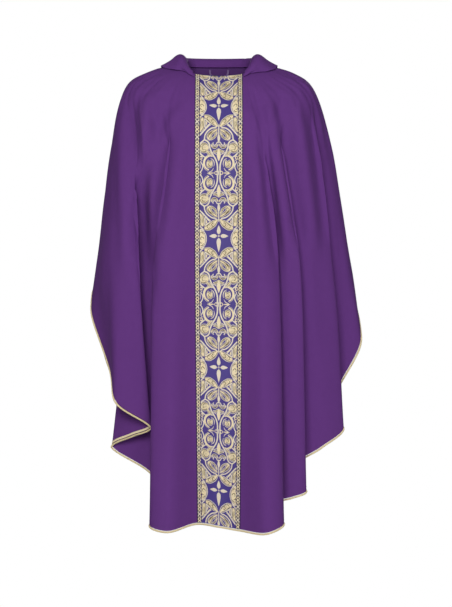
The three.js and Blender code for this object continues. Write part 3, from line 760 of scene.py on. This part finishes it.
def ribbon(points, width, closed=False, taper=(1, 1), rise=0.5, step=1.7):
    path, marks = evenPath(points, step, closed)
    along = np.gradient(path, axis=0)
    if closed:
        along[0] = along[-1] = path[1] - path[-2]
    along = unit(along)
    beside = np.stack([-along[:, 1], along[:, 0]], 1)
    share = marks / marks[-1]
    ends = np.minimum(1, np.minimum(taper[0] + (1 - taper[0]) * share * 3,
                                    taper[1] + (1 - taper[1]) * (1 - share) * 3))
    offset = width * ends[:, None] * domeAcross
    flat = path[:, None] + beside[:, None] * offset[..., None]
    height = rise * domeRise[None] * np.maximum(ends[:, None], 0.4)
    return (np.concatenate([flat, height[..., None]], 2),
            np.stack(np.broadcast_arrays(marks[:, None], offset), 2))


def leaf(sideA, sideB, rise=0.6, step=2.0):
    a, marks = evenPath(sideA, step)
    b, marksB = evenPath(sideB, step)
    count = max(len(a), len(b))
    share = np.linspace(0, 1, count)
    a, b = (valuesAt(share, np.linspace(0, 1, len(side)), side) for side in (a, b))
    width = np.linalg.norm(b - a, axis=1)
    cross = np.array([0, 0.16, 0.5, 0.84, 1])
    flat = a[:, None] + (b - a)[:, None] * cross[None, :, None]
    height = rise * domeRise[None] * np.clip(width / 3.5, 0.25, 1)[:, None]
    length = share * max(marks[-1], marksB[-1])
    return (np.concatenate([flat, height[..., None]], 2),
            np.stack(np.broadcast_arrays(length[:, None], width[:, None] * (cross - 0.5)), 2))


def roundel(centre, radii, start=0, end=360):
    turns = np.radians(np.linspace(start, end, 13))
    return [(centre[0] + radii[0] * math.cos(a), centre[1] + radii[1] * math.sin(a)) for a in turns]


def blade(start, end, half, fullest=0.45):
    # a pointed leaf from one tip to the other
    start, end = np.array(start, float), np.array(end, float)
    way = end - start
    out = np.array([-way[1], way[0]]) / np.linalg.norm(way) * half
    shape = [(0, 0), (fullest * 0.45, 0.78), (fullest, 1), (fullest + (1 - fullest) * 0.55, 0.62), (1, 0)]
    return [[tuple(start + way * x + out * y * hand) for x, y in shape] for hand in (1, -1)]


# The threadwork of one repeat. "four" pieces are mirrored to both sides and above and below the
# star, "beside" pieces to both sides, "along" pieces above and below, and "alone" ones stand once.
# Heights are from the middle of the cross.
threadwork = []
mirrors = {"four": [(1, 1), (-1, 1), (1, -1), (-1, -1)], "beside": [(1, 1), (-1, 1)],
           "along": [(1, 1), (1, -1)], "alone": [(1, 1)]}


def work(colour, piece, ways="four"):
    threadwork.append((colour, piece, ways))


def sewLine(colour, points, width, ways="four", **how):
    work(colour, ribbon(points, width, **how), ways)


threadColours = ("creamThread", "goldThread", "darkGoldThread")
creamLine, goldLine, darkLine = [partial(sewLine, colour) for colour in threadColours]

# gap: width of the painted shadow rim left between a leaf's cream edge and its gold fill
leafWork = {"edge": 1.6, "gap": 1.3, "vein": 1.0, "veinEvery": 4.2, "mostVeins": 5}


def edgedLeaf(sideA, sideB, rise=0.6, edge=leafWork["edge"]):
    # gold leaf on a flatter dark one, whose dark rim between the cream lines and the gold is painted shadow
    # of the raised threads, with a cream line along both sides and dark veins
    first, second = [path[np.linspace(0, len(path) - 1, 9).round().astype(int)]
                     for path in (evenPath(side, 0.6)[0] for side in (sideA, sideB))]
    wide = np.linalg.norm(second - first, axis=1)[:, None]
    inset = np.clip(leafWork["gap"] / np.maximum(wide, 1), 0.04, 0.2)
    between = lambda share: first * (1 - share) + second * share
    # painted shadow: a flat dark leaf under the narrower gold one, showing as a dark rim where the raised
    # threads would shade the ground
    work("darkGoldThread", leaf(sideA, sideB, rise * 0.15))
    work("goldThread", leaf(between(inset), between(1 - inset), rise))
    for side in (sideA, sideB):
        creamLine(side, edge, rise=rise + 0.12, taper=(.6, .6))
    count = int(np.clip(wide.max() / leafWork["veinEvery"], 2, leafWork["mostVeins"]))
    for share in np.arange(1, count + 1) / (count + 1):
        darkLine(between(share)[1:-1], leafWork["vein"], rise=rise + 0.3, taper=(.3, .3))


# the cross
for start, end, half, fullest in (((4.2, 0), (25.8, 0), 5.8, 0.4), ((-4.2, 0), (-25.8, 0), 5.8, 0.4),
                                  ((0, 4.6), (0, 44.5), 6.2, 0.28), ((0, -4.2), (0, -29.5), 5.5, 0.35)):
    work("creamThread", leaf(*blade(start, end, half, fullest)), "cross")
    heart = [tuple(a + (b - a) * share for a, b in zip(start, end)) for share in (0.22, 0.72)]
    work("goldThread", leaf(*blade(*heart, half * 0.26), rise=0.82), "cross")
creamLine(roundel((0, 0), (1.9, 1.9))[:-1], 1.9, closed=True, ways="cross")

# half roundels at the edges of the star
creamLine(roundel((53, 7.5), (19.8, 25.6), 84, 276), 2.6, ways="beside")
work("goldThread", leaf(roundel((53, 7.5), (18.2, 24), 92, 268),
                        [(53, 31.5), (52.9, 18), (52.9, -3), (53, -16.5)], .45), "beside")
for curl in ([(38.4, 14), (40.6, 5.6), (46.4, 2), (49.2, 7.6), (45, 11.6)],
             [(51, -7.5), (45.4, -10.6), (40.6, -3.6)],
             [(51, 24), (44.6, 24.6), (40.4, 18.6)], [(51.4, 14), (48.4, 18.6), (44.2, 17.4)]):
    darkLine(curl, 2.3, rise=.95, taper=(.3, .4), ways="beside")
creamLine([(36.6, -1), (39.4, 8), (37, 17)], 1.2, rise=.85, taper=(.3, .3), ways="beside")

# slips under the half roundel, and the stem that rises from the edge
creamLine([(53, 31.5), (46, 32.5), (38.5, 29)], 3.2, taper=(1, .3))
creamLine([(53, 43.5), (46, 36), (39.6, 32.6)], 3.2, taper=(1, .3))
creamLine([(53, 83.5), (45, 76.2), (38.5, 69.4), (28.4, 59.5), (21, 54.6)], 3.9, taper=(1, .4))
creamLine([(37.2, 43), (37, 53), (35.8, 64), (29.5, 57.6), (23.2, 51.4), (30, 47.5)], 3.0, closed=True)
work("goldThread", leaf([(35.4, 46.5), (34.8, 54), (33.8, 58.6)],
                        [(35, 46.5), (30.5, 50.5), (33.6, 58.6)], .45))

# crescent under the star, with its curls
edgedLeaf([(1.6, 57.6), (3.2, 51.8), (8.2, 41.7), (18.3, 33.5), (27.1, 30), (38.6, 31.6)],
          [(5.8, 58.6), (10, 56.4), (16.4, 54.2), (24, 50), (31.4, 44), (38.6, 40.6)], .7, edge=2.0)
for curl in ([(9.6, 46), (14.4, 49), (18.8, 45.4), (17.4, 40.4), (13.2, 40.2), (12.4, 44)],
             [(22.4, 43.6), (27.4, 44.6), (31, 40.4), (29.4, 35.8), (25.4, 35.4), (24.4, 39.2)]):
    darkLine(curl, 2.1, rise=1.1, taper=(.3, .4))
creamLine([(13.4, 52), (20.4, 48.6), (21, 43)], 1.3, rise=1.0, taper=(.3, .3))

# scalloped leaf at the edge
edgedLeaf([(40.4, 40.4), (38.6, 48), (38.7, 58), (41.6, 68.2), (51.4, 75.6)],
          [(46, 40.4), (51.2, 46.5), (49.6, 54), (52, 61), (52.4, 74)], .55)
darkLine([(44.6, 45), (43.6, 54), (45.6, 62), (48.6, 68)], 1.7, rise=.95, taper=(.3, .3))

# outer loop, the paisley in it and the leaf under it
creamLine([(3.2, 55), (9, 60.2), (18.3, 62.6), (30.9, 72), (37.4, 82), (39.6, 92.4), (48.6, 99.9),
           (53, 107)], 3.8)
edgedLeaf([(3.2, 63.4), (9, 64), (15.8, 67.4), (27.6, 75.6), (33, 85), (29.4, 92)],
          [(3.6, 67.5), (8, 72), (13.4, 76), (18.4, 80.6), (20.4, 87.5), (28.2, 92.6)], .6)
darkLine([(14.6, 70.4), (22.6, 76), (27.8, 83), (25.6, 88), (22.4, 84.6)], 1.9, rise=1.05, taper=(.3, .4))
edgedLeaf([(3, 74.4), (7.4, 84), (17, 91.6), (27, 94)], [(4, 69.8), (10, 77.6), (14.8, 85), (26, 91)], .5)

# stem and petal on the middle line
creamLine([(0, 51), (0, 62), (0, 78)], 3.4, taper=(.3, 1), ways="along")
work("creamThread", leaf(*blade((0, 76), (0, 101), 4.0, .5)), "along")
work("goldThread", leaf(*blade((0, 80), (0, 95), 1.5, .5), rise=.85), "along")

# crown of curled leaves
creamLine([(1, 99.5), (3.4, 98), (5.8, 101.4), (8.8, 105.8), (13.4, 106.2), (16.4, 102.6), (14.2, 99.4)],
          2.9)
edgedLeaf([(1.2, 102), (4.4, 105.8), (9.6, 110), (15.8, 108.4), (20.6, 102.6)],
          [(.6, 106), (4.8, 111.6), (10.2, 114.8), (16.6, 113.4), (22, 107.4)], .5)
darkLine([(4.8, 108.4), (10.4, 112.2), (16, 110.8)], 1.5, rise=.95, taper=(.3, .3))

# lily under it
edgedLeaf([(.4, 114.5), (6, 118.4), (12.8, 121), (15.6, 120.4)],
          [(.4, 119), (3.4, 122.5), (7.4, 126.2), (14.6, 122.6)], .55)
work("goldThread", leaf(*blade((0, 115), (0, 148), 5.2, .5), rise=.7), "along")
for hand in (1, -1):
    creamLine([(0.4 * hand, 118), (4.9 * hand, 131), (3.4 * hand, 139), (0.2 * hand, 147.6)], 1.4,
              rise=.85, ways="along")
creamLine([(5.2, 131), (10, 128.4), (16.4, 124.6)], 2.4, taper=(.5, .5))

# the long ribbons that cross the middle, from the loop down to the knot
creamLine([(39, 92.5), (30.4, 96.4), (25.8, 103), (24.4, 112), (20.8, 121.4), (14.5, 132.8), (8.2, 143.4),
           (4.4, 155), (3.3, 168), (4.6, 177)], 4.3)

# outer roundel
edgedLeaf(roundel((39.8, 112.6), (12.6, 13.2), 180, 360), roundel((39.8, 112.6), (12.6, 13.2), 180, 0),
          .65)
for curl in ([(33.6, 107), (39.6, 104.6), (44.4, 108.4), (45, 114.4), (40, 117), (36.6, 113.4)],
             [(33, 117.6), (38, 121.6), (45, 120)], [(48.6, 106), (49.8, 113)]):
    darkLine(curl, 2.0, rise=1.05, taper=(.3, .4))
creamLine([(52.6, 117), (50.8, 125.5), (44.8, 132.2), (35.6, 138)], 4.4, taper=(.5, .5))
edgedLeaf(*blade((32.6, 120), (18.6, 136), 4.4), .55)

# inner roundel: its ring, the ribbon inside it and the lobed leaf
goldLine([(14.6, 135), (24, 134), (32.6, 137.6), (38.4, 145.6), (39.2, 156), (34.6, 165), (26.6, 170.4)],
         5.4, taper=(.35, .6), rise=.7)
creamLine([(14.6, 132.4), (24.6, 131), (34.8, 135), (41.2, 144.6), (42.2, 156.4), (37.4, 167.2),
           (28.6, 173.8)], 1.8, rise=.75, taper=(.4, .5))
creamLine([(13.4, 162), (12, 153.4), (15.4, 144.4), (22, 140.4)], 2.5, taper=(.4, .5))
edgedLeaf([(16.8, 151), (19.4, 144.6), (23.6, 148.4), (28.8, 144), (33, 151)],
          [(17, 153), (17.6, 160.6), (23.4, 164.6), (30.6, 162.6), (33.2, 154)], .6, edge=1.5)
darkLine([(20.6, 156), (25.4, 159), (29, 154), (25.6, 151.4)], 1.8, rise=1.05, taper=(.3, .3))
creamLine([(14, 165.4), (19, 173), (27.5, 176.6)], 2.4, taper=(.4, .8))

# side scroll at the edge
goldLine(roundel((48.6, 138), (3.4, 3.8))[:-1], 2.8, closed=True)
creamLine([(44.6, 143.6), (49, 148), (45, 154.6), (43.4, 161), (46.8, 171), (52.8, 177.5)], 3.3,
          taper=(.5, 1))
creamLine([(52.8, 147), (50.6, 155), (50.4, 163), (52.8, 170)], 1.8, taper=(.3, .3))

# the knot between two stars
goldLine([(12.6, 178.5), (22, 178.5), (31.5, 178.5)], 3.4, taper=(.5, .4), ways="beside")
goldLine(roundel((7.4, 178.5), (3.4, 4.2))[:-1], 2.1, closed=True, ways="beside")
goldLine(roundel((51, 178.5), (3.2, 3.6))[:-1], 2.2, closed=True, ways="beside")
work("creamThread", leaf(*blade((0, 170.6), (0, 186.4), 2.0, .5)), "alone")

layout = {
    "crossHeights": [-.131, -.487, -.843, -1.176],  # where the crosses lie, from the shoulder level
    "repeat": 357.0, "starCentre": 7.5, "ease": 1.044, "reach": 51.7,
}


def bandWork(colour):
    # one repeat about the middle of its star; the knot belongs to the star above it
    laid = []
    for kind, (flat, uv), ways in threadwork:
        if kind != colour:
            continue
        flat = flat - [0, layout["starCentre"], 0]
        if ways != "cross":
            flat = flat * [1, layout["ease"], 1]
        for hand, fold in mirrors.get(ways, [(1, 1)]):
            laid.append((flat * [hand, fold, 1], uv))
    return laid


def reliefPiece(name, sideName, pieces, seat, material, reach, **options):
    # lays flat threadwork on a band; what runs past its ends or edges is cut off there
    ruler = bandRuler[sideName]
    places, faces, uvs, start = [], [], [], 0
    low, high = 1.0, ruler["length"] * 1000 - 1.0
    for p, uv in pieces:
        rows, columns = p.shape[:2]
        quads = gridFaces(rows, columns)
        flat = p.reshape(-1, 3)
        inside = (flat[:, 1] > low) & (flat[:, 1] < high) & (np.abs(flat[:, 0]) < reach + 1.2)
        kept = quads[inside[quads].all(1)]
        if not len(kept):
            continue
        used, where = np.unique(kept, return_inverse=True)
        places.append(flat[used])
        uvs.append(uv.reshape(-1, 2)[used] / 1000)
        faces.append(where.reshape(-1, 4) + start)
        start += len(used)
    flat, faces, uvs = np.concatenate(places), np.concatenate(faces), np.concatenate(uvs)
    flat[:, 0] = np.clip(flat[:, 0], -reach, reach)
    points = onBand(sideName, flat[:, 0] / 1000, flat[:, 1] / 1000, seat + flat[:, 2] / 1000)
    ground = onBand(sideName, flat[:, 0] / 1000, flat[:, 1] / 1000, np.full(len(flat), seat - 0.01))
    corners = points[faces]
    facing = np.cross(corners[:, 2] - corners[:, 0], corners[:, 3] - corners[:, 1])
    size = np.linalg.norm(facing, axis=1)
    wrong = (facing * (points - ground)[faces[:, 0]]).sum(1) < 0
    faces[wrong] = faces[wrong][:, ::-1]
    faces = faces[size > 2e-9]
    return addPiece(name, points, faces, uvs, material, creaseAngle=80, **options)


def starPlaces(sideName):
    # the middle of each star, in millimetres down the band
    ruler = bandRuler[sideName]
    down = np.interp([-z for z in layout["crossHeights"]], -ruler["heights"], ruler["lengths"]) * 1000
    return down + layout["starCentre"]


for sideName in bandSide:
    stars = starPlaces(sideName)
    half = layout["repeat"] / 2
    for colour in threadColours:
        laid = []
        for number, star in enumerate(stars):
            above = (star - stars[number - 1]) / layout["repeat"] if number else 1
            below = (stars[number + 1] - star) / layout["repeat"] if number + 1 < len(stars) else 1
            for p, uv in bandWork(colour):
                p = p.copy()
                p[..., 1] = star + p[..., 1] * np.where(p[..., 1] < 0, above, below)
                laid.append((p, uv))
        name = f"{sideName}_band_{colour[:-6]}_work"
        reliefPiece(name, sideName, laid, band["seat"] + band["thick"],
                                       finish[colour], layout["reach"], slot="brocade")
print("band threadwork laid on")

# The chain worked on the galloons
chain = {"period": 35.5, "middle": 58.6, "reach": 65.6}
mirrored = lambda points, hand: [(s * hand, t) for s, t in points]
chainWork = {
    "goldThread": [ribbon(roundel((0, middle), (3.7, 3.6))[:-1], 2.9, closed=True, step=1.5)
                   for middle in (-4.2, 4.2)],
    "creamThread": [ribbon(mirrored([(-4.6, 12.2), (-2.6, 15.4), (0, 17.7), (2.6, 20), (4.6, 23.2)], hand),
                           3.2, step=1.5) for hand in (1, -1)]
                   + [ribbon(mirrored(points, hand), 1.5, taper=(1, .4), step=1.2)
                      for points in ([(-4.8, 9.6), (-2.4, 10.8), (0, 10.2)],
                                     [(-4.8, 25.8), (-2.4, 24.6), (0, 25.2)]) for hand in (1, -1)],
}
for sideName in bandSide:
    length = bandRuler[sideName]["length"] * 1000
    for hand, sign in (("left", -1), ("right", 1)):
        for colour, pieces in chainWork.items():
            laid = []
            for number in range(int(length / chain["period"]) + 2):
                for p, uv in pieces:
                    laid.append((p + [sign * chain["middle"], number * chain["period"], 0], uv))
            name = f"{sideName}_galloon_{hand}_{colour[:-6]}_work"
            reliefPiece(name, sideName, laid, band["seat"] + band["galloonThick"],
                                           finish[colour], chain["reach"], slot="galloon")
print("galloon chains laid on")

# Roll collar: rises from the neckline, rolls over and lies on the shoulders
collarShape = {
    "start": 1.15, "full": 11, "wingStart": 4.2, "stand": 0.024, "fall": 0.060, "backExtra": 0.020,
    "thick": 0.0026, "perFold": 5, "steps": 30, "seamAt": 23, "seamDip": 0.0008, "wave": 0.0012,
}


def neckwards(u, distance):
    down = slopes(plainCloth, u, np.zeros_like(u))[1]
    return distance / np.linalg.norm(down, axis=-1)


def collarCurve(u, shares):
    # the collar's middle surface on line u: control points from the neckline over the roll to the edge
    size, fromFront = collarShape, np.minimum(u, lineCount - u)
    opened = smooth(size["start"], size["full"], fromFront)
    towardsBack = smooth(size["full"], 22, fromFront)
    stand = size["stand"] * (0.15 + 0.85 * opened)
    turned = smooth(size["wingStart"], size["full"], fromFront)
    fall = 0.004 + (size["fall"] - 0.004 + size["backExtra"] * towardsBack) * turned
    roll = 0.004 + 0.010 * opened
    zero = np.zeros_like(u)
    down = unit(slopes(plainCloth, u, zero)[1])
    neck = plainCloth(u, zero) - down * (cut["gap"] + 0.0003 + size["thick"] / 2)
    out = unit(neck * [1, 1, 0])

    def rising(reach, rise):
        return neck + out * np.reshape(reach + zero, (-1, 1)) + np.stack([zero, zero, rise + zero], 1)

    def lying(reach, height):
        point, normal = draped(u, neckwards(u, reach))
        return point + normal * np.reshape(height + zero, (-1, 1))

    control = np.stack([
        rising(0, 0.0005), rising(0.0005, stand * 0.5), rising(roll * 0.45, stand * 0.9),
        rising(roll * 1.2, stand * 1.12), rising(roll * 2, stand),
        lying(0.012 + fall * 0.5, 0.004 + stand * 0.5),
        lying(0.010 + fall * 0.8, 0.004 + stand * 0.2), lying(0.010 + fall, 0.005)])
    control = np.concatenate([2 * control[:1] - control[1:2], control, 2 * control[-1:] - control[-2:-1]])
    spans = len(control) - 3
    at = shares * spans
    first = np.minimum(at.astype(int), spans - 1)
    near = [control[first + k] for k in range(4)]
    return curveThrough(*near, (at - first)[:, None, None])


def makeCollar():
    size = collarShape
    end = lineCount - size["start"]
    u = np.linspace(size["start"], end, int((end - size["start"]) * size["perFold"]) + 1)
    shares = np.linspace(0, 1, size["steps"] + 1)
    middle = collarCurve(u, shares)
    across, along = np.gradient(middle, axis=1), np.gradient(middle, axis=0)
    normal = unit(np.cross(across, along))
    # the outer edge waves a little, and the seam in the back lies lower
    loose = shares[:, None] ** 3 * smooth(3, 9, np.minimum(u, lineCount - u))[None, :]
    lift = size["wave"] * loose * np.sin(u * 1.9 + 0.6)[None, :]
    lift = lift - size["seamDip"] * np.exp(-((u - size["seamAt"]) / 0.05) ** 2)[None, :]
    middle = middle + normal * lift[..., None]
    half = size["thick"] / 2
    outer, inner = middle + normal * half, middle - normal * half
    rim = []
    edgeWay = unit(middle[-1] - middle[-2])
    for turn in (-60, -30, 0, 30, 60):
        a = math.radians(turn)
        rim.append(middle[-1] + edgeWay * half * math.cos(a) - normal[-1] * half * math.sin(a))
    rings = np.concatenate([outer, np.array(rim), inner[::-1]]).transpose(1, 0, 2)
    piece = loft("collar", rings, finish["purpleTwill"], cadNodes=["collar"], slot="cloth")
    return piece, middle, normal, half


collar, collarMiddle, collarNormal, collarHalf = makeCollar()
print("collar rolled")

# Inside: neck facings and the gold tape round the hem
insideSize = {"facingDepth": 0.034, "tape": 0.0008, "binding": 0.0062, "bindingEdge": 0.0006,
              "seat": cut["cloth"] / 2 + 0.00025}


def hemwards(u, distance):
    down = slopes(plainCloth, u, np.full_like(u, hemRow))[1]
    return hemRow - distance / np.linalg.norm(down, axis=-1)


def insideLayer(name, columns, rows, material, **options):
    u = np.broadcast_to(columns, rows.shape)
    point, normal = draped(u, rows)
    seat, thick = insideSize["seat"], insideSize["tape"]
    return shell(name, point - normal * seat, point - normal * (seat + thick), material, **options)


def neckFacing(name, start, end):
    columns = columnsBetween(start + 0.01, end - 0.01, 6)
    rows = np.linspace(0, 1, 7)[:, None] * neckwards(columns, insideSize["facingDepth"])[None, :]
    return insideLayer(name, columns, rows, finish["satinLining"], cadNodes=[name], slot="lining")


roundTo = seams["left"] + lineCount  # the left shoulder seam again, once round
facings = [neckFacing("front_neck_facing", seams["right"], roundTo),
           neckFacing("back_neck_facing", seams["left"], seams["right"])]
hemColumns = columnsBetween(seams["left"] + 0.01, roundTo - 0.01, 8)
hemRows = np.stack([hemwards(hemColumns, distance) for distance
                    in np.linspace(insideSize["binding"], insideSize["bindingEdge"], 4)])
insideLayer("hem_binding", hemColumns, hemRows, finish["goldThread"], cadNodes=["hem_binding"],
            slot="gold_cord")

# The twisted gold cord round the hem
cordShape = {"diameter": 0.0056, "strands": 3, "twist": 0.013, "step": 0.0019, "sides": 6, "seat": 0.0007}


def makeCord():
    size = cordShape
    u = np.linspace(seams["left"] + 0.02, roundTo - 0.02, lineCount * 24)
    hem, out = draped(u, np.full_like(u, hemRow))
    along = unit(np.gradient(hem, axis=0))
    beside = unit(out - along * np.sum(out * along, 1)[:, None])
    down = np.cross(beside, along)
    centre = hem + down * (size["diameter"] / 2 + size["seat"])
    length = runLengths(centre)
    marks = np.linspace(0, length[-1], int(length[-1] / size["step"]) + 1)
    path = valuesAt(marks, length, centre)
    print("hem cord, metres:", round(float(marks[-1]), 2))
    along = unit(np.gradient(path, axis=0))
    ref = valuesAt(np.linspace(0, 1, len(path)), np.linspace(0, 1, len(u)), beside)
    side = unit(ref - along * np.sum(ref * along, 1)[:, None])
    up = np.cross(along, side)
    strandRadius = size["diameter"] / 2 * 0.5
    pieces = []
    for number in range(size["strands"]):
        turn = 2 * math.pi * (marks / size["twist"] + number / size["strands"])
        offset = (side * np.cos(turn)[:, None] + up * np.sin(turn)[:, None])
        line = path + offset * (size["diameter"] / 2 - strandRadius)
        way = unit(np.gradient(line, axis=0))
        a = unit(offset - way * np.sum(offset * way, 1)[:, None])
        b = np.cross(way, a)
        ring = [line + (a * math.cos(t) + b * math.sin(t)) * strandRadius * 1.08
                for t in np.arange(size["sides"]) * 2 * math.pi / size["sides"]]
        pieces.append(np.stack(ring, 1))
    cords = [loft("hem_cord" if not n else f"hem_cord_strand_{n + 1}", rings, finish["goldCord"],
                  slot="gold_cord", creaseAngle=80) for n, rings in enumerate(pieces)]
    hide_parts("hem_cord")


makeCord()
print("facings, hem tape and cord sewn in")

# Stitches
stitching = {"long": 0.0028, "pitch": 0.0042, "thread": 0.00028, "fromHem": 0.0085, "edgeSteps": 4}


def stitchRow(name, line, normals, material, body="garment", slot=None, pitch=None, long=None,
              thread=None):
    # small spindles of thread along a line, each half sunk into the cloth
    pitch, long = pitch or stitching["pitch"], long or stitching["long"]
    radius = thread or stitching["thread"]
    length = runLengths(line)
    starts = np.arange(pitch * 0.3, length[-1] - long, pitch)
    points, faces, uvs = [], [], []
    rings = [(0, 0.35), (0.25, 1), (0.75, 1), (1, 0.35)]
    a, b = valuesAt(starts, length, line), valuesAt(starts + long, length, line)
    up = unit(valuesAt(starts + long / 2, length, normals))
    way = unit(b - a)
    side = np.cross(way, up)
    for share, size in rings:
        middle = a + (b - a) * share + up * radius * (0.3 if 0 < share < 1 else -0.5)
        for turn in (45, 135, 225, 315):
            r, t = radius * size, math.radians(turn)
            points.append(middle + side * r * math.cos(t) * 1.3 + up * r * math.sin(t))
            uvs.append(np.stack([np.full(len(a), share * long), np.full(len(a), turn / 360 * 0.002)], 1))
    points, uvs = np.stack(points, 1), np.stack(uvs, 1)
    one = [(i * 4 + k, i * 4 + (k + 1) % 4, i * 4 + 4 + (k + 1) % 4, i * 4 + 4 + k)
           for i in range(3) for k in range(4)]
    one += [(3, 2, 1, 0), (12, 13, 14, 15)]
    faces = (np.array(one)[None] + 16 * np.arange(len(a))[:, None, None]).reshape(-1, 4)
    return addPiece(name, points, faces, uvs, material, body=body, slot=slot)


def bandLine(sideName, s, rise, marginTop=0.004, marginEnd=0.004):
    t = np.linspace(marginTop, bandRuler[sideName]["length"] - marginEnd, 500)
    flat = np.full_like(t, s)
    line = onBand(sideName, flat, t, np.full_like(t, rise))
    return line, unit(line - onBand(sideName, flat, t, np.full_like(t, rise - 0.01)))


for sideName in bandSide:
    for hand, sign in (("left", -1), ("right", 1)):
        rise = band["seat"] + band["galloonThick"]
        for place, s in (("outer", bandEdge - 0.0011), ("inner", cut["bandHalf"] + 0.0009)):
            line, up = bandLine(sideName, sign * s, rise)
            stitchRow(f"{sideName}_galloon_{hand}_{place}_stitches", line, up, finish["purpleThread"],
                      slot="galloon")


hemSewing = {"left": (1.15, 21.0), "right": (23.0, 44.85)}
for hand, (start, end) in hemSewing.items():
    us = np.linspace(start, end, 900)
    point, normal = draped(us, hemwards(us, stitching["fromHem"]))
    stitchRow(f"hem_stitches_{hand}", point + normal * halfCloth, normal, finish["purpleThread"],
              slot="cloth")
for hand, sign in (("left", -1), ("right", 1)):
    for place, off in (("front", 0.09), ("back", -0.09)):
        v = np.linspace(0.9, hemRow - 0.06, 300)
        point, normal = draped(np.full_like(v, seams[hand] + off * sign), v)
        stitchRow(f"shoulder_{hand}_{place}_stitches", point + normal * halfCloth, normal,
                  finish["purpleThread"], slot="cloth")
edgeRow = np.s_[-stitching["edgeSteps"], 8:-8]  # steps in from the collar's edge, clear of its ends
stitchRow("collar_stitches", collarMiddle[edgeRow] + collarNormal[edgeRow] * collarHalf,
          collarNormal[edgeRow], finish["purpleThread"], slot="cloth")
print("stitches sewn")

# Hanger loop and size label inside the back of the neck
loopShape = {"span": 0.052, "drop": 0.026, "tape": (0.007, 0.0012)}
labelShape = {"wide": 0.046, "high": 0.030, "thick": 0.0008, "cell": 0.002}


def makeLoop():
    low, high = (np.array(c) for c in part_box("hanger_loop"))
    centre = np.array([(low[0] + high[0]) / 2, (low[1] + high[1]) / 2, 0])
    span, drop, (wide, thick) = loopShape["span"], loopShape["drop"], loopShape["tape"]
    half = [(-span / 2, 0), (-span / 2 + 0.001, -drop * 0.45), (-span / 4, -drop * 0.93)]
    path = evenPath(half + [(0, -drop)] + [(-x, z) for x, z in half[::-1]], 0.001)[0]
    top = low[2] + drop + wide / 2
    way = unit(np.gradient(path, axis=0))
    beside = np.stack([-way[:, 1], way[:, 0]], 1)
    profile = [(-0.5, 0.0), (-0.42, 0.5), (0, 0.42), (0.42, 0.5), (0.5, 0.0), (0.42, -0.5), (0, -0.42),
               (-0.42, -0.5)]
    rings = []
    for across, out in profile:
        flat = path + beside * wide * across
        rings.append(np.stack([centre[0] + flat[:, 0], np.full(len(flat), centre[1] - thick * out),
                               top + flat[:, 1]], 1))
    loft("hanger_loop_tape", np.stack(rings, 1), finish["satinLining"], body="loop",
         cadNodes=["hanger_loop"], slot="lining")


def makeLabel():
    low, high = (np.array(c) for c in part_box("size_label"))
    size = labelShape
    columns = np.linspace(0, 1, int(size["wide"] / size["cell"]) + 1)
    rows = np.linspace(0, 1, int(size["high"] / size["cell"]) + 1)
    x = low[0] + (high[0] - low[0]) * columns[None, :] + 0 * rows[:, None]
    z = high[2] - (high[2] - low[2]) * rows[:, None] + 0 * columns[None, :]
    middle = (low[1] + high[1]) / 2
    # hems folded under at the two ends make them a little thicker
    fold = 0.72 + 0.28 * (np.abs(columns[None, :] - 0.5) > 0.4) + 0 * rows[:, None]
    half = size["thick"] / 2 * fold
    y = middle + 0 * x
    piece = shell("size_label_tape", np.stack([x, y - half, z], 2), np.stack([x, y + half, z], 2),
                  finish["labelSatin"], body="label", cadNodes=["size_label"], slot="label")
    inset = 0.002
    line = np.stack([np.linspace(low[0] + inset, high[0] - inset, 40),
                     np.full(40, middle - size["thick"] / 2),
                     np.full(40, high[2] - inset)], 1)
    sewn = stitchRow("size_label_stitches", line, np.tile([0.0, -1, 0], (40, 1)), finish["purpleThread"],
                     body="label", slot="label", pitch=0.0032, long=0.0022, thread=0.0002)
    return piece, sewn


makeLoop()
sizeLabel, labelStitches = makeLabel()
print("loop and label sewn")

# The length of each band
for sideName in bandSide:
    print(sideName, "band, metres:", round(bandRuler[sideName]["length"], 2))
